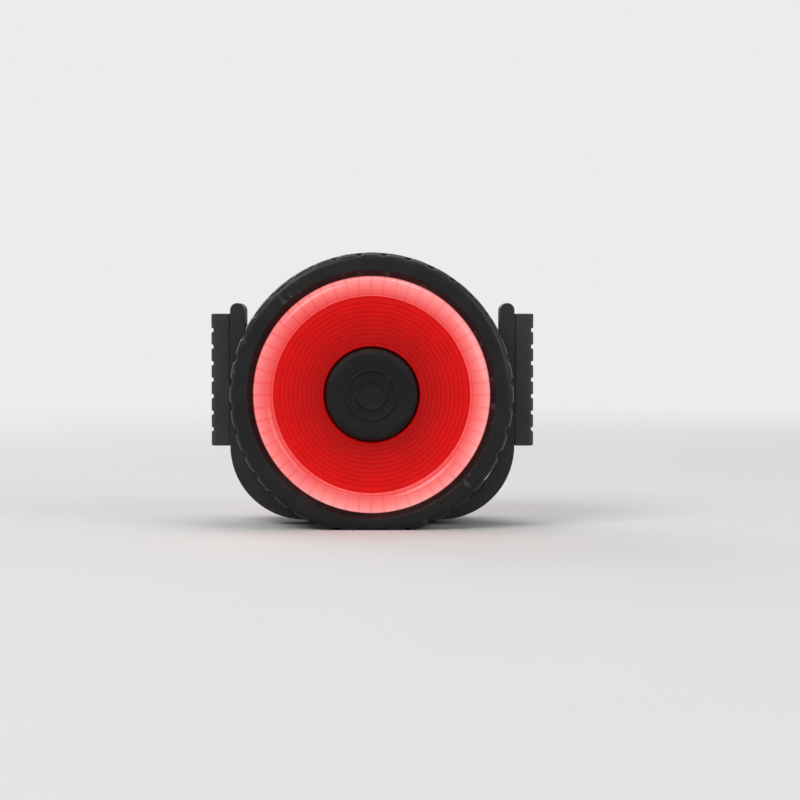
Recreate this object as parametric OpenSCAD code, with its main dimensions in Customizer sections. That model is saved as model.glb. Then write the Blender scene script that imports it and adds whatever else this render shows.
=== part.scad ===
// Two-sided spoke light for a bicycle wheel. A round lamp sits between two spokes, with a lit ring
// lens on each face, a push button in the front, a coin cell cap in the rear, and a sprung arm on
// each side that grips a spoke.
// Millimetres. -Y is the front face, +Z points to the rim, and the lamp stands on Z = 0.

/* [Lens] */
// Diameter of the lit part of each lens
lens_d = 35; // [35:0.5:38]
// Width of the bright ring at the edge of each lens
ring_w = 2.9; // [2.7:0.1:3.2]
// Height of the ring above the bezel
ring_rise = 1.1; // [0.8:0.1:1.6]
// Light-scattering flutes under each ring
flutes = 56; // [24:4:72]

/* [Body] */
// Wall of the two shells
wall = 1.6; // [1.4:0.1:2.2]
// Floor between each lamp half and the waist
floor_t = 1.4; // [1.3:0.1:1.8]
// Thickness of the bezel's lip
lip_t = 1.6; // [1.4:0.1:2.2]
// Depth of the flat that the lamp stands on
foot_depth = 1; // [0.8:0.1:1.2]
// Finger notches round each bezel
bezel_notches = 36; // [24:4:48]

/* [Electronics] */
// Thickness of the circuit boards
board_t = 1; // [0.8:0.1:1.2]
// Depth of the reflector cup in front of each board
reflector_h = 3.2; // [3:0.1:4]
// LEDs on each board
led_count = 8; // [4, 8]
// Diameter of the push button
button_d = 13.6; // [13:0.2:15]
// Travel of the push button
button_travel = 0.4; // [0.2:0.05:0.5]

/* [Battery] */
// Diameter of a coin cell
cell_d = 20; // [19.8:0.1:20.1]
// Thickness of a coin cell
cell_t = 3.2; // [2.5:0.1:3.2]
// Turn of the battery cap from locked to open, in degrees
cap_turn = 60; // [40:5:70]

/* [Arms] */
// Distance between the two spoke grooves at rest
spoke_span = 46; // [46:0.5:49]
// Spoke diameter that the grips fit
spoke_d = 2; // [1.8:0.1:2.2]
// Width of each arm, across the waist
arm_w = 6.6; // [6.2:0.2:7.4]
// Thickness of each arm
arm_t = 2.2; // [2:0.1:2.4]
// Length of each rubber grip
grip_len = 20; // [14:1:22]
// Wire of the arm springs
spring_wire = 0.6; // [0.45:0.05:0.65]

/* [Hidden] */
$fn = 96;
eps = 0.01;

// How far a cutting solid reaches past what it cuts
over = 1;

// Play of a pressed pin, of a seal in its groove, of a turning pin, and round shanks, heads and the cap
press_play = 0.02;
groove_play = 0.12;
pin_play = 0.05;
shank_play = 0.2;
head_play = 0.2;
cap_play = 0.3;

// Radii, from the coin cell outwards; the ring of the lens always clears the battery cap
cell_r = cell_d / 2;
cell_room = 4.6;
lens_r = max(lens_d / 2, cell_r + cell_room + ring_w);
lens_play = 0.1;
ring_out = lens_r - lens_play;
ring_in = lens_r - ring_w;
ring_mid = (ring_in + ring_out) / 2;
crown_r = (ring_out - ring_in) / 2 * 1.1;
flange_r = lens_r + 1;
skirt_in = flange_r + lens_play;
skirt_out = skirt_in + 0.7;
shell_in = skirt_out + lens_play;
body_r = shell_in + wall;
board_r = shell_in - 0.5;

// Distances from the middle plane, outwards through either half
arm_play = 0.3;
waist_h = arm_w / 2 + arm_play;
board_h0 = waist_h + floor_t;
board_h1 = board_h0 + board_t;
lens_h0 = board_h1 + reflector_h;
flange_h1 = lens_h0 + 1.2;
gasket_t = 0.4;
lip_h0 = flange_h1 + gasket_t;
lip_h1 = lip_h0 + lip_t;
lens_h1 = lip_h1 + ring_rise;
plate_h0 = lens_h0 + 0.7;
plate_h1 = plate_h0 + 1.3;
wall_top = lens_h0 + 0.4;
skirt_h0 = wall_top - 1.7;
snap_h = wall_top - 0.9;
snap_r = 0.25;

// Battery cradle, cap and core
bore_r = cell_r + 0.25;
cradle_r = bore_r + 1.55;
collar_r = cradle_r + 1.1;
shoulder_r = collar_r + 0.5;
link_r = cradle_r + 1.1;
core_in = cradle_r + 2.2;
core_out = core_in + 1.8;
seal_r = (core_in + core_out) / 2;
seal_wire = 0.9;
tray_h1 = -waist_h + 2.6;
tray_t = 1;
cells_h0 = tray_h1 + 1.4;
cells_h1 = cells_h0 + 2 * cell_t;
positive_touch = cells_h0 + 1.5 * cell_t;
positive_top = positive_touch + 0.7;
shoulder_h1 = board_h1 + 1;
cradle_h1 = plate_h0 + 0.7;
plug_r = bore_r - 0.25;
lug_r = plug_r + 1;
lug_h0 = shoulder_h1 + 0.45;
lug_t = 1.15;
lug_play = 0.15;
lug_arc = 26;
cap_gap = 0.3;
cap_h0 = cradle_h1 + cap_gap;
cap_h1 = cap_h0 + 1.7;
cap_seal_wire = 0.8;
cap_seal_r = collar_r - 0.9;
coin_slot = [15, 2, 1.1];

// Contact strips
strip_t = 0.3;
strip_play = 0.2;
positive_w = 2.8;
tail_w = 2;
tail_x = 4.4;

// Switch and button
switch_w = 6;
switch_h = 3.4;
plunger_r = 1.75;
plunger_len = 2.3;
plunger_play = 0.1;
plunger_h1 = board_h1 + switch_h + 0.8;
button_r = button_d / 2;
button_hole_r = button_r + 0.3;
button_seal_wire = 0.8;
button_rim_h1 = plate_h0 - button_seal_wire;
button_rim_h0 = button_rim_h1 - 0.9;
button_rim_r = button_hole_r + 1.1;
button_seal_r = button_hole_r + 0.55;
button_top = plate_h1 + 1.7;

// LEDs, case screws and pins between the boards
led_size = [2.8, 3.5, 0.8];
led_r = ring_mid;
led_start = 22.5;
led_angles = [for (i = [0:led_count - 1]) led_start + i * 360 / led_count];
screw_angles = [52, 128, 270];
screw_r = core_out + 1.6;
pillar_r = 2.2;
thread_r = 0.95;
head_r = 1.8;
head_h = 1.4;
screw_tip_room = 0.8;
link_angles = [45, 135, 225, 315];
link_pin_r = 0.3;
link_pin_out = [0.3, -0.05];

// Arms, measured from the lens axis in the middle plane
lens_z = body_r - foot_depth;
hub_r = 2.7;
pivot_r = core_out + 0.5 + hub_r;
pivot_z = -(lens_z - hub_r - 0.3);
pivot_x = sqrt(pivot_r * pivot_r - pivot_z * pivot_z);
pin_r = 1;
pin_len = 2 * (board_h0 - 0.4);
grip_back = 1.5;
grip_depth = 2.9;
grip_w = arm_w - 0.6;
groove_x = spoke_span / 2;
groove_r = spoke_d / 2 + pin_play;
arm_x = groove_x - grip_back;
bend_z = -8;
bend_out = bend_z - (pivot_z - arm_t);
bend_in = bend_out - arm_t;
arm_top = 12.5;
grip_z0 = arm_top - 0.5 - grip_len;
tenon_w = 2;
tenon_d = 0.85;
tenon_end = 1.2;
stop_x = 3.4;
stop_t = 1.8;
spring_bay = 4;
coil_r = 2;
coil_turns = 2.75;
coil_len = 3;
spring_leg = 6.6;
core_leg = 4.1;

// Draws a half of the lamp with its own +Z pointing out of the front or the rear face.
module front_half() translate([0, 0, lens_z]) rotate([90, 0, 0]) children();
module rear_half() mirror([0, 1, 0]) front_half() children();

// Cuts a square 2D corner at p to radius r, where the material lies towards dir.
module round_off(p, dir, r) {
    reach = r + eps;
    translate(p + r * dir)
        difference() {
            polygon([[0, 0], [-dir.x * reach, 0], -dir * reach, [0, -dir.y * reach]]);
            circle(r);
        }
}

module ring_seal(r, h, wire) rotate_extrude() translate([r, h]) circle(d = wire, $fn = 32);

// The flat at the bottom of a shell or a bezel
module foot_flat() {
    span = 2 * body_r;
    translate([-span / 2, -lens_z - span, -eps]) cube([span, span, span]);
}

// One lamp half: the core at the waist, the floor, the outer wall, and pillars that end in the floor
module shell() {
    waist_round = 0.8;
    pin_end_play = 0.1;
    difference() {
        union() {
            rotate_extrude()
                difference() {
                    union() {
                        translate([core_in, 0]) square([core_out - core_in, board_h0]);
                        translate([core_in, waist_h]) square([body_r - core_in, floor_t]);
                        translate([shell_in, waist_h]) square([wall, wall_top - waist_h]);
                    }
                    round_off([body_r, waist_h], [-1, 1], waist_round);
                    translate([shell_in, snap_h]) circle(snap_r + pin_play, $fn = 32);
                }
            for (a = screw_angles)
                rotate(a) translate([screw_r, 0, 0]) cylinder(r = pillar_r, h = waist_h + floor_t / 2);
        }
        ring_seal(seal_r, 0, seal_wire + groove_play);
        foot_flat();
        for (side = [-1, 1])
            translate([side * pivot_x, pivot_z, waist_h - eps])
                cylinder(r = pin_r + press_play, h = pin_len / 2 - waist_h + pin_end_play);
        children();
    }
}

module front_shell() color("#202225")
    front_half() shell()
        for (a = screw_angles)
            rotate(a) translate([screw_r, 0, -eps])
                cylinder(r = thread_r + pin_play, h = board_h0 - screw_tip_room / 2);

module rear_shell() color("#202225")
    rear_half() shell()
        for (a = screw_angles)
            rotate(a) translate([screw_r, 0, -eps]) cylinder(r = thread_r + shank_play, h = board_h0 + floor_t);

module bezel() {
    chamfer = 0.9;
    crown = 1.2;
    snap_bed = 0.05;
    notch_r = 0.8;
    notch_out = 0.3;
    notch_rise = 0.6;
    difference() {
        rotate_extrude()
            difference() {
                union() {
                    translate([lens_r, lip_h0]) square([body_r - lens_r, lip_t]);
                    translate([skirt_in, wall_top]) square([body_r - skirt_in, lip_h0 - wall_top]);
                    translate([skirt_in, skirt_h0]) square([skirt_out - skirt_in, wall_top - skirt_h0]);
                    translate([skirt_out - snap_bed, snap_h]) circle(snap_r, $fn = 32);
                }
                round_off([body_r, lip_h1], [-1, -1], crown);
                translate([lens_r, lip_h1])
                    polygon([[-eps, eps], [chamfer, eps], [-eps, -chamfer]]);
            }
        for (i = [0:bezel_notches - 1])
            rotate((i + 0.5) * 360 / bezel_notches)
                translate([body_r + notch_out, 0, wall_top + notch_rise])
                    cylinder(r = notch_r, h = lip_h1, $fn = 24);
        foot_flat();
    }
}

module front_bezel() color("#2b2e33") front_half() bezel();
module rear_bezel() color("#2b2e33") rear_half() bezel();

// A ring lens: a crowned light guide, a flange under the bezel, and a thin plate in to hole_r.
module lens(hole_r) {
    flute_w = 1.1;
    flute_h = 0.5;
    flute_end = 0.2;
    difference() {
        rotate_extrude() {
            translate([ring_in, lens_h0]) square([flange_r - ring_in, flange_h1 - lens_h0]);
            translate([hole_r, plate_h0]) square([ring_in - hole_r + eps, plate_h1 - plate_h0]);
            intersection() {
                translate([ring_in, lens_h0]) square([ring_out - ring_in, lens_h1 - lens_h0]);
                union() {
                    translate([ring_mid, lens_h1 - crown_r]) circle(crown_r);
                    translate([ring_in - over, lens_h0 - over])
                        square([ring_w + 2 * over, lens_h1 - lens_h0 - crown_r + over]);
                }
            }
        }
        for (i = [0:flutes - 1])
            rotate(i * 360 / flutes)
                translate([ring_in - flute_end, 0, lens_h0])
                    rotate([90, 0, 90])
                        linear_extrude(ring_w - flute_end)
                            polygon([[-flute_w / 2, -eps], [flute_w / 2, -eps], [0, flute_h]]);
    }
}

module front_lens() color("#ff5a58") front_half() lens(button_hole_r);
module rear_lens() color("#ff5a58") rear_half() lens(collar_r + cap_play);

module lens_gasket()
    rotate_extrude()
        translate([lens_r + lens_play, flange_h1])
            square([flange_r - lens_r - lens_play, gasket_t]);

module front_lens_gasket() color("#4a4d52") front_half() lens_gasket();
module rear_lens_gasket() color("#4a4d52") rear_half() lens_gasket();

// White cup that throws the light of one board's LEDs into the ring lens
module reflector() {
    base_t = 0.7;
    foot_w = 0.8;
    lap = 0.35;
    slope_in = 0.4;
    slope_out = 0.5;
    led_play = 0.3;
    foot_in = ring_in - foot_w;
    rim = flange_r - lens_play;
    base_h1 = board_h1 + base_t;
    inner_h1 = plate_h0 - 2 * lens_play;
    difference() {
        rotate_extrude() {
            translate([foot_in, board_h1]) square([rim - foot_in, base_t]);
            translate([shoulder_r - lap, shoulder_h1]) square([foot_in - shoulder_r + lap + pin_play, foot_w]);
            polygon([
                [foot_in, board_h1], [ring_in + slope_in, base_h1],
                [ring_in - lens_play, inner_h1], [foot_in, inner_h1]
            ]);
            polygon([
                [ring_out - slope_out, base_h1], [rim, board_h1],
                [rim, lens_h0], [ring_out + 2 * lens_play, lens_h0]
            ]);
        }
        for (a = led_angles)
            rotate(a) translate([led_r, 0, board_h1 + led_size.z / 2])
                cube(led_size + [led_play, led_play, led_play], center = true);
        for (a = screw_angles)
            rotate(a) translate([screw_r, 0, board_h1 - eps])
                cylinder(r = head_r + head_play, h = board_h0 + head_h - board_h1 + head_play / 2);
    }
}

module front_reflector() color("#f2f1ec") front_half() reflector();
module rear_reflector() color("#f2f1ec") rear_half() reflector();

module link_holes()
    for (a = link_angles)
        rotate(a) translate([link_r, 0, board_h0 - over])
            cylinder(r = link_pin_r + pin_play, h = board_t + 2 * over, $fn = 32);

module main_board() color("#1f6b3a")
    front_half()
        difference() {
            translate([0, 0, board_h0]) cylinder(r = board_r, h = board_t);
            link_holes();
        }

module rear_board() color("#1f6b3a")
    rear_half()
        difference() {
            translate([0, 0, board_h0]) cylinder(r = board_r, h = board_t);
            translate([0, 0, board_h0 - over]) cylinder(r = cradle_r + cap_play, h = board_t + 2 * over);
            for (a = screw_angles)
                rotate(a) translate([screw_r, 0, board_h0 - over])
                    cylinder(r = head_r + head_play, h = board_t + 2 * over);
            link_holes();
        }

module leds() {
    window_r = 1.1;
    window_d = 0.15;
    for (a = led_angles)
        rotate(a) translate([led_r, 0, board_h1])
            difference() {
                translate([0, 0, led_size.z / 2]) cube(led_size, center = true);
                translate([0, 0, led_size.z - window_d]) cylinder(r = window_r, h = over, $fn = 32);
            }
}

module front_leds() color("#f6e9d8") front_half() leds();
module rear_leds() color("#f6e9d8") rear_half() leds();

// The chip and the small parts sit behind the main board, under the battery tray.
module driver_chip() color("#17181a") {
    chip = [4.9, 3.9, 1.5];
    chip_at = [-1, 4];
    stand_off = 0.1;
    lead = [0.4, 1.3, 0.8];
    lead_pitch = 1.27;
    lead_bed = 0.2;
    lead_y = (chip.y + lead.y) / 2 - lead_bed;
    front_half()
        translate([chip_at.x, chip_at.y, board_h0 - stand_off - chip.z / 2]) {
            cube(chip, center = true);
            for (side = [-1, 1], i = [-1.5:1:1.5])
                translate([i * lead_pitch, side * lead_y, (chip.z - lead.z) / 2 + stand_off])
                    cube(lead, center = true);
        }
}

module board_passives() color("#8a7a5c") {
    passive = [2, 1.25, 0.55];
    places = [[-5.5, -4], [-2.5, -4.8], [0.5, -5], [7, 3.2]];
    front_half()
        for (p = places)
            translate([p.x, p.y, board_h0 - passive.z / 2]) cube(passive, center = true);
}

module link_pins() color("#d8c27a")
    rear_half()
        for (a = link_angles)
            rotate(a) translate([link_r, 0, -board_h1 - link_pin_out[0]])
                cylinder(r = link_pin_r, h = 2 * board_h1 + link_pin_out[0] + link_pin_out[1], $fn = 32);

// Square tact switch with a rivet at each corner and a bore for the plunger
module switch_body() color("#2c2c2e") {
    rivet_at = switch_w * 3 / 8;
    rivet_r = 0.5;
    rivet_h = 0.15;
    plunger_room = button_travel + plunger_play;
    front_half()
        difference() {
            union() {
                translate([-switch_w / 2, -switch_w / 2, board_h1]) cube([switch_w, switch_w, switch_h]);
                for (x = [-1, 1], y = [-1, 1])
                    translate([x * rivet_at, y * rivet_at, board_h1 + switch_h / 2])
                        cylinder(r = rivet_r, h = switch_h / 2 + rivet_h, $fn = 32);
            }
            translate([0, 0, plunger_h1 - plunger_len - plunger_room])
                cylinder(r = plunger_r + plunger_play, h = switch_h);
        }
}

module switch_plunger() color("#101010")
    front_half() translate([0, 0, plunger_h1 - plunger_len]) cylinder(r = plunger_r, h = plunger_len);

module button() color("#26272b")
    front_half()
        rotate_extrude()
            difference() {
                boss_r = 1.6;
                boss_h = 0.7;
                edge_round = 0.8;
                dish = 0.5;
                dish_r = button_r - 2 * edge_round;
                ceiling = plunger_h1 + boss_h;
                dish_bend = (dish_r * dish_r + dish * dish) / (2 * dish);
                cup_wall = 1.5;
                cup_r = button_r - cup_wall;
                union() {
                    translate([0, ceiling]) square([button_r, button_top - ceiling]);
                    translate([cup_r, button_rim_h0]) square([cup_wall, ceiling - button_rim_h0 + eps]);
                    translate([cup_r, button_rim_h0])
                        square([button_rim_r - cup_r, button_rim_h1 - button_rim_h0]);
                    translate([0, plunger_h1]) square([boss_r, boss_h + eps]);
                }
                round_off([button_r, button_top], [-1, -1], edge_round);
                intersection() {
                    translate([0, button_top + dish_bend - dish]) circle(dish_bend, $fn = 256);
                    translate([0, button_top - over]) square([button_r, 2 * over]);
                }
            }

module button_seal() color("#4a4d52")
    front_half() ring_seal(button_seal_r, plate_h0 - button_seal_wire / 2, button_seal_wire);

// One lug's path in the cradle: the channel that locks it, and the slot that lets it in.
module lug_path() {
    free = lug_arc / 2 + 3;
    path_in = bore_r - 0.5;
    path_w = lug_r + 0.2 - path_in;
    channel_h1 = lug_h0 + lug_t + lug_play;
    rotate(-cap_turn - free)
        rotate_extrude(angle = cap_turn + 2 * free)
            translate([path_in, lug_h0 - lug_play]) square([path_w, lug_t + 2 * lug_play]);
    rotate(-cap_turn - free)
        rotate_extrude(angle = 2 * free)
            translate([path_in, channel_h1 - eps]) square([path_w, cradle_h1 - channel_h1 + over]);
}

module battery_cradle() color("#3a3d42")
    rear_half()
        difference() {
            rotate_extrude()
                polygon([
                    [0, tray_h1 - tray_t], [bore_r, tray_h1 - tray_t],
                    [bore_r, -board_h0], [cradle_r, -board_h0],
                    [cradle_r, board_h1], [shoulder_r, board_h1], [shoulder_r, shoulder_h1],
                    [collar_r, shoulder_h1], [collar_r, cradle_h1], [bore_r, cradle_h1],
                    [bore_r, tray_h1], [0, tray_h1]
                ]);
            for (a = [0, 180]) rotate(a) lug_path();
            positive_slot();
            negative_slot();
        }

module positive_slot()
    translate([-cradle_r - over, -positive_w / 2 - strip_play, -board_h0 - eps])
        cube([
            cradle_r + over - cell_r - pin_play,
            positive_w + 2 * strip_play,
            board_h0 + positive_top + pin_play
        ]);

module negative_slot()
    translate([tail_x - strip_play, -tail_w / 2 - strip_play, tray_h1 - tray_t - over])
        cube([strip_t + 2 * strip_play, tail_w + 2 * strip_play, tray_t + 2 * over]);

// A coin cell with its can rolled over at the front rim
module coin_cell(h) {
    can_round = 0.5;
    rim_w = 1.6;
    rim_h = 0.3;
    rear_half()
        translate([0, 0, h])
            rotate_extrude()
                difference() {
                    square([cell_r, cell_t]);
                    round_off([cell_r, cell_t], [-1, -1], can_round);
                    translate([cell_r - rim_w, -eps]) square([rim_w + over, rim_h + eps]);
                }
}

module front_cell() color("#c9ccd0") coin_cell(cells_h0);
module rear_cell() color("#c9ccd0") coin_cell(cells_h0 + cell_t);

// Sprung contact under the cells: a plate on the tray, three raised tongues and a tail to the board
module negative_contact() color("#d9c07a")
    rear_half() {
        plate_r = 6;
        root_in = 0.2;
        root_w = 0.7;
        root_r = plate_r - root_in;
        tip_r = 1.4;
        flat = 1.4;
        foot = tray_h1 + strip_t;
        sunk = strip_t * 2 / 3;
        tongue_t = strip_t * 5 / 6;
        translate([0, 0, tray_h1]) cylinder(r = plate_r, h = strip_t);
        for (a = [60, 180, 300])
            rotate(a) rotate([90, 0, 0])
                linear_extrude(tail_w, center = true)
                    polygon([
                        [root_r, foot - sunk], [root_r, foot], [tip_r + flat, cells_h0], [tip_r, cells_h0],
                        [tip_r, cells_h0 - tongue_t], [tip_r + flat - root_in, cells_h0 - tongue_t],
                        [root_r - root_w, foot - sunk]
                    ]);
        translate([tail_x, -tail_w / 2, -board_h0]) cube([strip_t, tail_w, board_h0 + tray_h1 + strip_t / 2]);
    }

// Side contact that presses on the can of the rear cell
module positive_contact() color("#d9c07a")
    rear_half() {
        bore_room = 0.35;
        bend_drop = 1.2;
        inner = bore_r + bore_room;
        outer = inner + strip_t;
        foot_len = 1;
        bend_h = positive_touch - bend_drop;
        touch_x = cell_r + press_play;
        rotate([90, 0, 180])
            linear_extrude(positive_w, center = true)
                polygon([
                    [inner, -board_h0], [outer + foot_len, -board_h0], [outer + foot_len, strip_t - board_h0],
                    [outer, strip_t - board_h0], [outer, bend_h], [touch_x + strip_t, positive_touch],
                    [outer, positive_top], [inner, positive_top], [touch_x, positive_touch], [inner, bend_h]
                ]);
    }

module core_seal() color("#4a4d52") front_half() ring_seal(seal_r, 0, seal_wire);

module cradle_seal() color("#4a4d52") {
    wire = 0.88;
    fit = wire / 2 + eps;
    rear_half() ring_seal(collar_r + fit, plate_h0 - fit, wire);
}

// Quarter-turn cap: a plug with two lugs, a seal groove under its rim and a coin slot
module battery_cap() color("#26272b")
    rear_half() {
        cell_gap = 0.1;
        plug_wall = 1.8;
        plug_top = 1;
        edge_round = 0.6;
        lug_bed = 0.8;
        rib_t = 1;
        rib_bed = 0.5;
        rib_rise = 0.4;
        dimple_r = 0.6;
        dimple_d = 0.4;
        dimple_in = 2.6;
        plug_h0 = cells_h1 + cell_gap;
        plug_in = plug_r - plug_wall;
        seal_groove = cap_seal_wire + groove_play;
        difference() {
            union() {
                rotate_extrude()
                    difference() {
                        union() {
                            translate([0, cap_h0 - plug_top]) square([plug_r, plug_top + eps]);
                            translate([plug_in, plug_h0]) square([plug_wall, cap_h0 - plug_h0]);
                            translate([0, cap_h0]) square([collar_r, cap_h1 - cap_h0]);
                        }
                        round_off([collar_r, cap_h1], [-1, -1], edge_round);
                        translate([cap_seal_r, cradle_h1 + cap_seal_wire / 2])
                            circle(d = seal_groove, $fn = 32);
                        translate([cap_seal_r - seal_groove / 2, cap_h0 - eps])
                            square([seal_groove, cap_seal_wire / 2 - cap_gap + eps]);
                    }
                for (a = [0, 180])
                    rotate(a - lug_arc / 2)
                        rotate_extrude(angle = lug_arc)
                            translate([plug_r - lug_bed, lug_h0]) square([lug_r - plug_r + lug_bed, lug_t]);
                for (a = [0, 90])
                    rotate(a) translate([-plug_in - rib_bed, -rib_t / 2, plug_h0 + rib_rise])
                        cube([2 * (plug_in + rib_bed), rib_t, cap_h0 - plug_top - plug_h0]);
            }
            translate([0, 0, cap_h1 - coin_slot.z / 2 + eps])
                cube([coin_slot.x, coin_slot.y, coin_slot.z + 2 * eps], center = true);
            translate([0, collar_r - dimple_in, cap_h1 - dimple_d]) cylinder(r = dimple_r, h = over, $fn = 32);
        }
    }

module cap_seal() color("#4a4d52")
    rear_half() ring_seal(cap_seal_r, cradle_h1 + cap_seal_wire / 2, cap_seal_wire);

module case_screws() color("#b9bcc0") {
    shank_h0 = screw_tip_room - board_h0;
    recess = [1.2 * head_r, head_r / 3.6, head_h];
    rear_half()
        for (a = screw_angles)
            rotate(a) translate([screw_r, 0, 0])
                difference() {
                    union() {
                        translate([0, 0, shank_h0]) cylinder(r = thread_r, h = board_h0 - shank_h0 + eps);
                        translate([0, 0, board_h0]) cylinder(r = head_r, h = head_h);
                    }
                    for (turn = [0, 90])
                        rotate(turn) translate([0, 0, board_h0 + head_h]) cube(recess, center = true);
                }
}

module arm_pins() color("#b9bcc0")
    front_half()
        for (side = [-1, 1])
            translate([side * pivot_x, pivot_z, 0]) cylinder(r = pin_r, h = pin_len, center = true);

// Right arm seen from the front: hub, bend, straight bar with the grip's pocket, and stop tail
module arm() {
    bend_x = arm_x - bend_out;
    stop_drop = 0.4;
    bay_play = 0.2;
    tenon_room = [tenon_d + pin_play, grip_len - 2 * (tenon_end - pin_play), tenon_w + 2 * pin_play];
    difference() {
        linear_extrude(arm_w, center = true) {
            translate([pivot_x, pivot_z]) circle(hub_r);
            translate([bend_x, bend_z])
                intersection() {
                    difference() {
                        circle(bend_out);
                        circle(bend_in);
                    }
                    translate([0, -bend_out - over]) square(bend_out + over);
                }
            translate([arm_x - arm_t, bend_z - eps]) square([arm_t, arm_top - bend_z + eps]);
            translate([arm_x - arm_t / 2, arm_top]) circle(d = arm_t);
            translate([pivot_x, pivot_z - arm_t]) square([max(bend_x - pivot_x, eps), arm_t]);
            translate([stop_x, pivot_z - stop_drop]) square([pivot_x - stop_x, stop_t]);
        }
        translate([pivot_x, pivot_z, 0]) {
            cylinder(r = pin_r + pin_play, h = arm_w + over, center = true);
            cylinder(r = hub_r + bay_play, h = spring_bay, center = true);
        }
        translate([arm_x - tenon_room.x, grip_z0 + tenon_end - pin_play, -tenon_room.z / 2])
            cube(tenon_room + [over, 0, 0]);
    }
}

module right_arm() color("#34373c") front_half() arm();
module left_arm() color("#34373c") mirror([1, 0, 0]) front_half() arm();

// Rubber grip on the right arm, with a groove that snaps over a spoke
module grip() {
    throat = 0.44 * spoke_d;
    mouth = 1.7;
    neck_x = groove_x + groove_r;
    rib_pitch = 2.5;
    rib_w = 0.6;
    rib_d = 0.35;
    face_round = 0.8;
    face_x = arm_x + grip_depth;
    rotate([-90, 0, 0])
        translate([0, 0, grip_z0])
            difference() {
                union() {
                    linear_extrude(grip_len)
                        difference() {
                            translate([arm_x, -grip_w / 2]) square([grip_depth, grip_w]);
                            round_off([face_x, grip_w / 2], [-1, -1], face_round);
                            round_off([face_x, -grip_w / 2], [-1, 1], face_round);
                            translate([groove_x, 0]) circle(groove_r);
                            polygon([
                                [groove_x, -throat], [neck_x, -throat], [face_x + eps, -mouth],
                                [face_x + eps, mouth], [neck_x, throat], [groove_x, throat]
                            ]);
                        }
                    translate([arm_x - tenon_d, -tenon_w / 2, tenon_end])
                        cube([tenon_d + eps, tenon_w, grip_len - 2 * tenon_end]);
                }
                for (z = [rib_pitch:rib_pitch:grip_len - rib_w])
                    translate([face_x - rib_d, -grip_w, z - rib_w / 2]) cube([over, 2 * grip_w, rib_w]);
            }
}

module right_grip() color("#5a5d62") front_half() grip();
module left_grip() color("#5a5d62") mirror([1, 0, 0]) front_half() grip();

// Right torsion spring: a leg on the core, the coil round the pin, and a leg along the arm
function spring_path() =
    let (
        steps = round(coil_turns * 16),
        leg_gap = 0.1,
        core_z = pivot_z + core_leg,
        core_x = sqrt(core_out * core_out - core_z * core_z) + spring_wire / 2 + leg_gap,
        start = -coil_len / 2
    )
    concat(
        [[core_x, core_z, start]],
        [for (i = [0:steps])
            let (a = -360 * coil_turns * i / steps)
            [pivot_x + coil_r * cos(a), pivot_z + coil_r * sin(a), start + coil_len * i / steps]],
        [[pivot_x + spring_leg, pivot_z + coil_r, coil_len / 2]]
    );

// Least clear distance between parts of the wire that lie half a turn or more apart
function spring_gap(path) =
    min([for (i = [0:len(path) - 10], j = [i + 9:len(path) - 1]) norm(path[i] - path[j])]) - spring_wire;

module wire(path, d) {
    sides = 8;
    last = len(path) - 1;
    along = [for (i = [0:last]) path[min(i + 1, last)] - path[max(i - 1, 0)]];
    across = [for (t = along) let (c = cross([0, 0, 1], t)) c / norm(c)];
    points = [
        for (i = [0:last], k = [0:sides - 1])
            let (
                up = cross(along[i], across[i]) / norm(along[i]),
                a = 360 * k / sides
            )
            path[i] + d / 2 * (cos(a) * across[i] + sin(a) * up)
    ];
    skin = [
        for (i = [0:last - 1], k = [0:sides - 1])
            let (
                a = i * sides + k,
                b = i * sides + (k + 1) % sides
            )
            each [[a, b, a + sides], [b, b + sides, a + sides]]
    ];
    ends = [
        for (k = [1:sides - 2])
            each [[0, k + 1, k], [last * sides, last * sides + k, last * sides + k + 1]]
    ];
    polyhedron(points, concat(skin, ends));
}

module right_spring() color("#c5c8cc") front_half() wire(spring_path(), spring_wire);
module left_spring() color("#c5c8cc") mirror([1, 0, 0]) front_half() wire(spring_path(), spring_wire);

echo(spring_gap = spring_gap(spring_path()));

front_shell();
rear_shell();
front_bezel();
rear_bezel();
front_lens();
rear_lens();
front_lens_gasket();
rear_lens_gasket();
front_reflector();
rear_reflector();
main_board();
rear_board();
front_leds();
rear_leds();
driver_chip();
board_passives();
link_pins();
switch_body();
switch_plunger();
button();
button_seal();
battery_cradle();
front_cell();
rear_cell();
negative_contact();
positive_contact();
core_seal();
cradle_seal();
battery_cap();
cap_seal();
case_screws();
arm_pins();
left_arm();
right_arm();
left_grip();
right_grip();
left_spring();
right_spring();
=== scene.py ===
"""Looks of the two-sided spoke light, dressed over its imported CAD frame.

Metres in Blender, millimetres in the size fields. -Y is the front face, +Z points to the wheel's rim,
and the lamp stands on Z = 0.
"""

import logging
import math
from collections.abc import Callable, Sequence
from dataclasses import dataclass, replace
from enum import Enum

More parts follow.
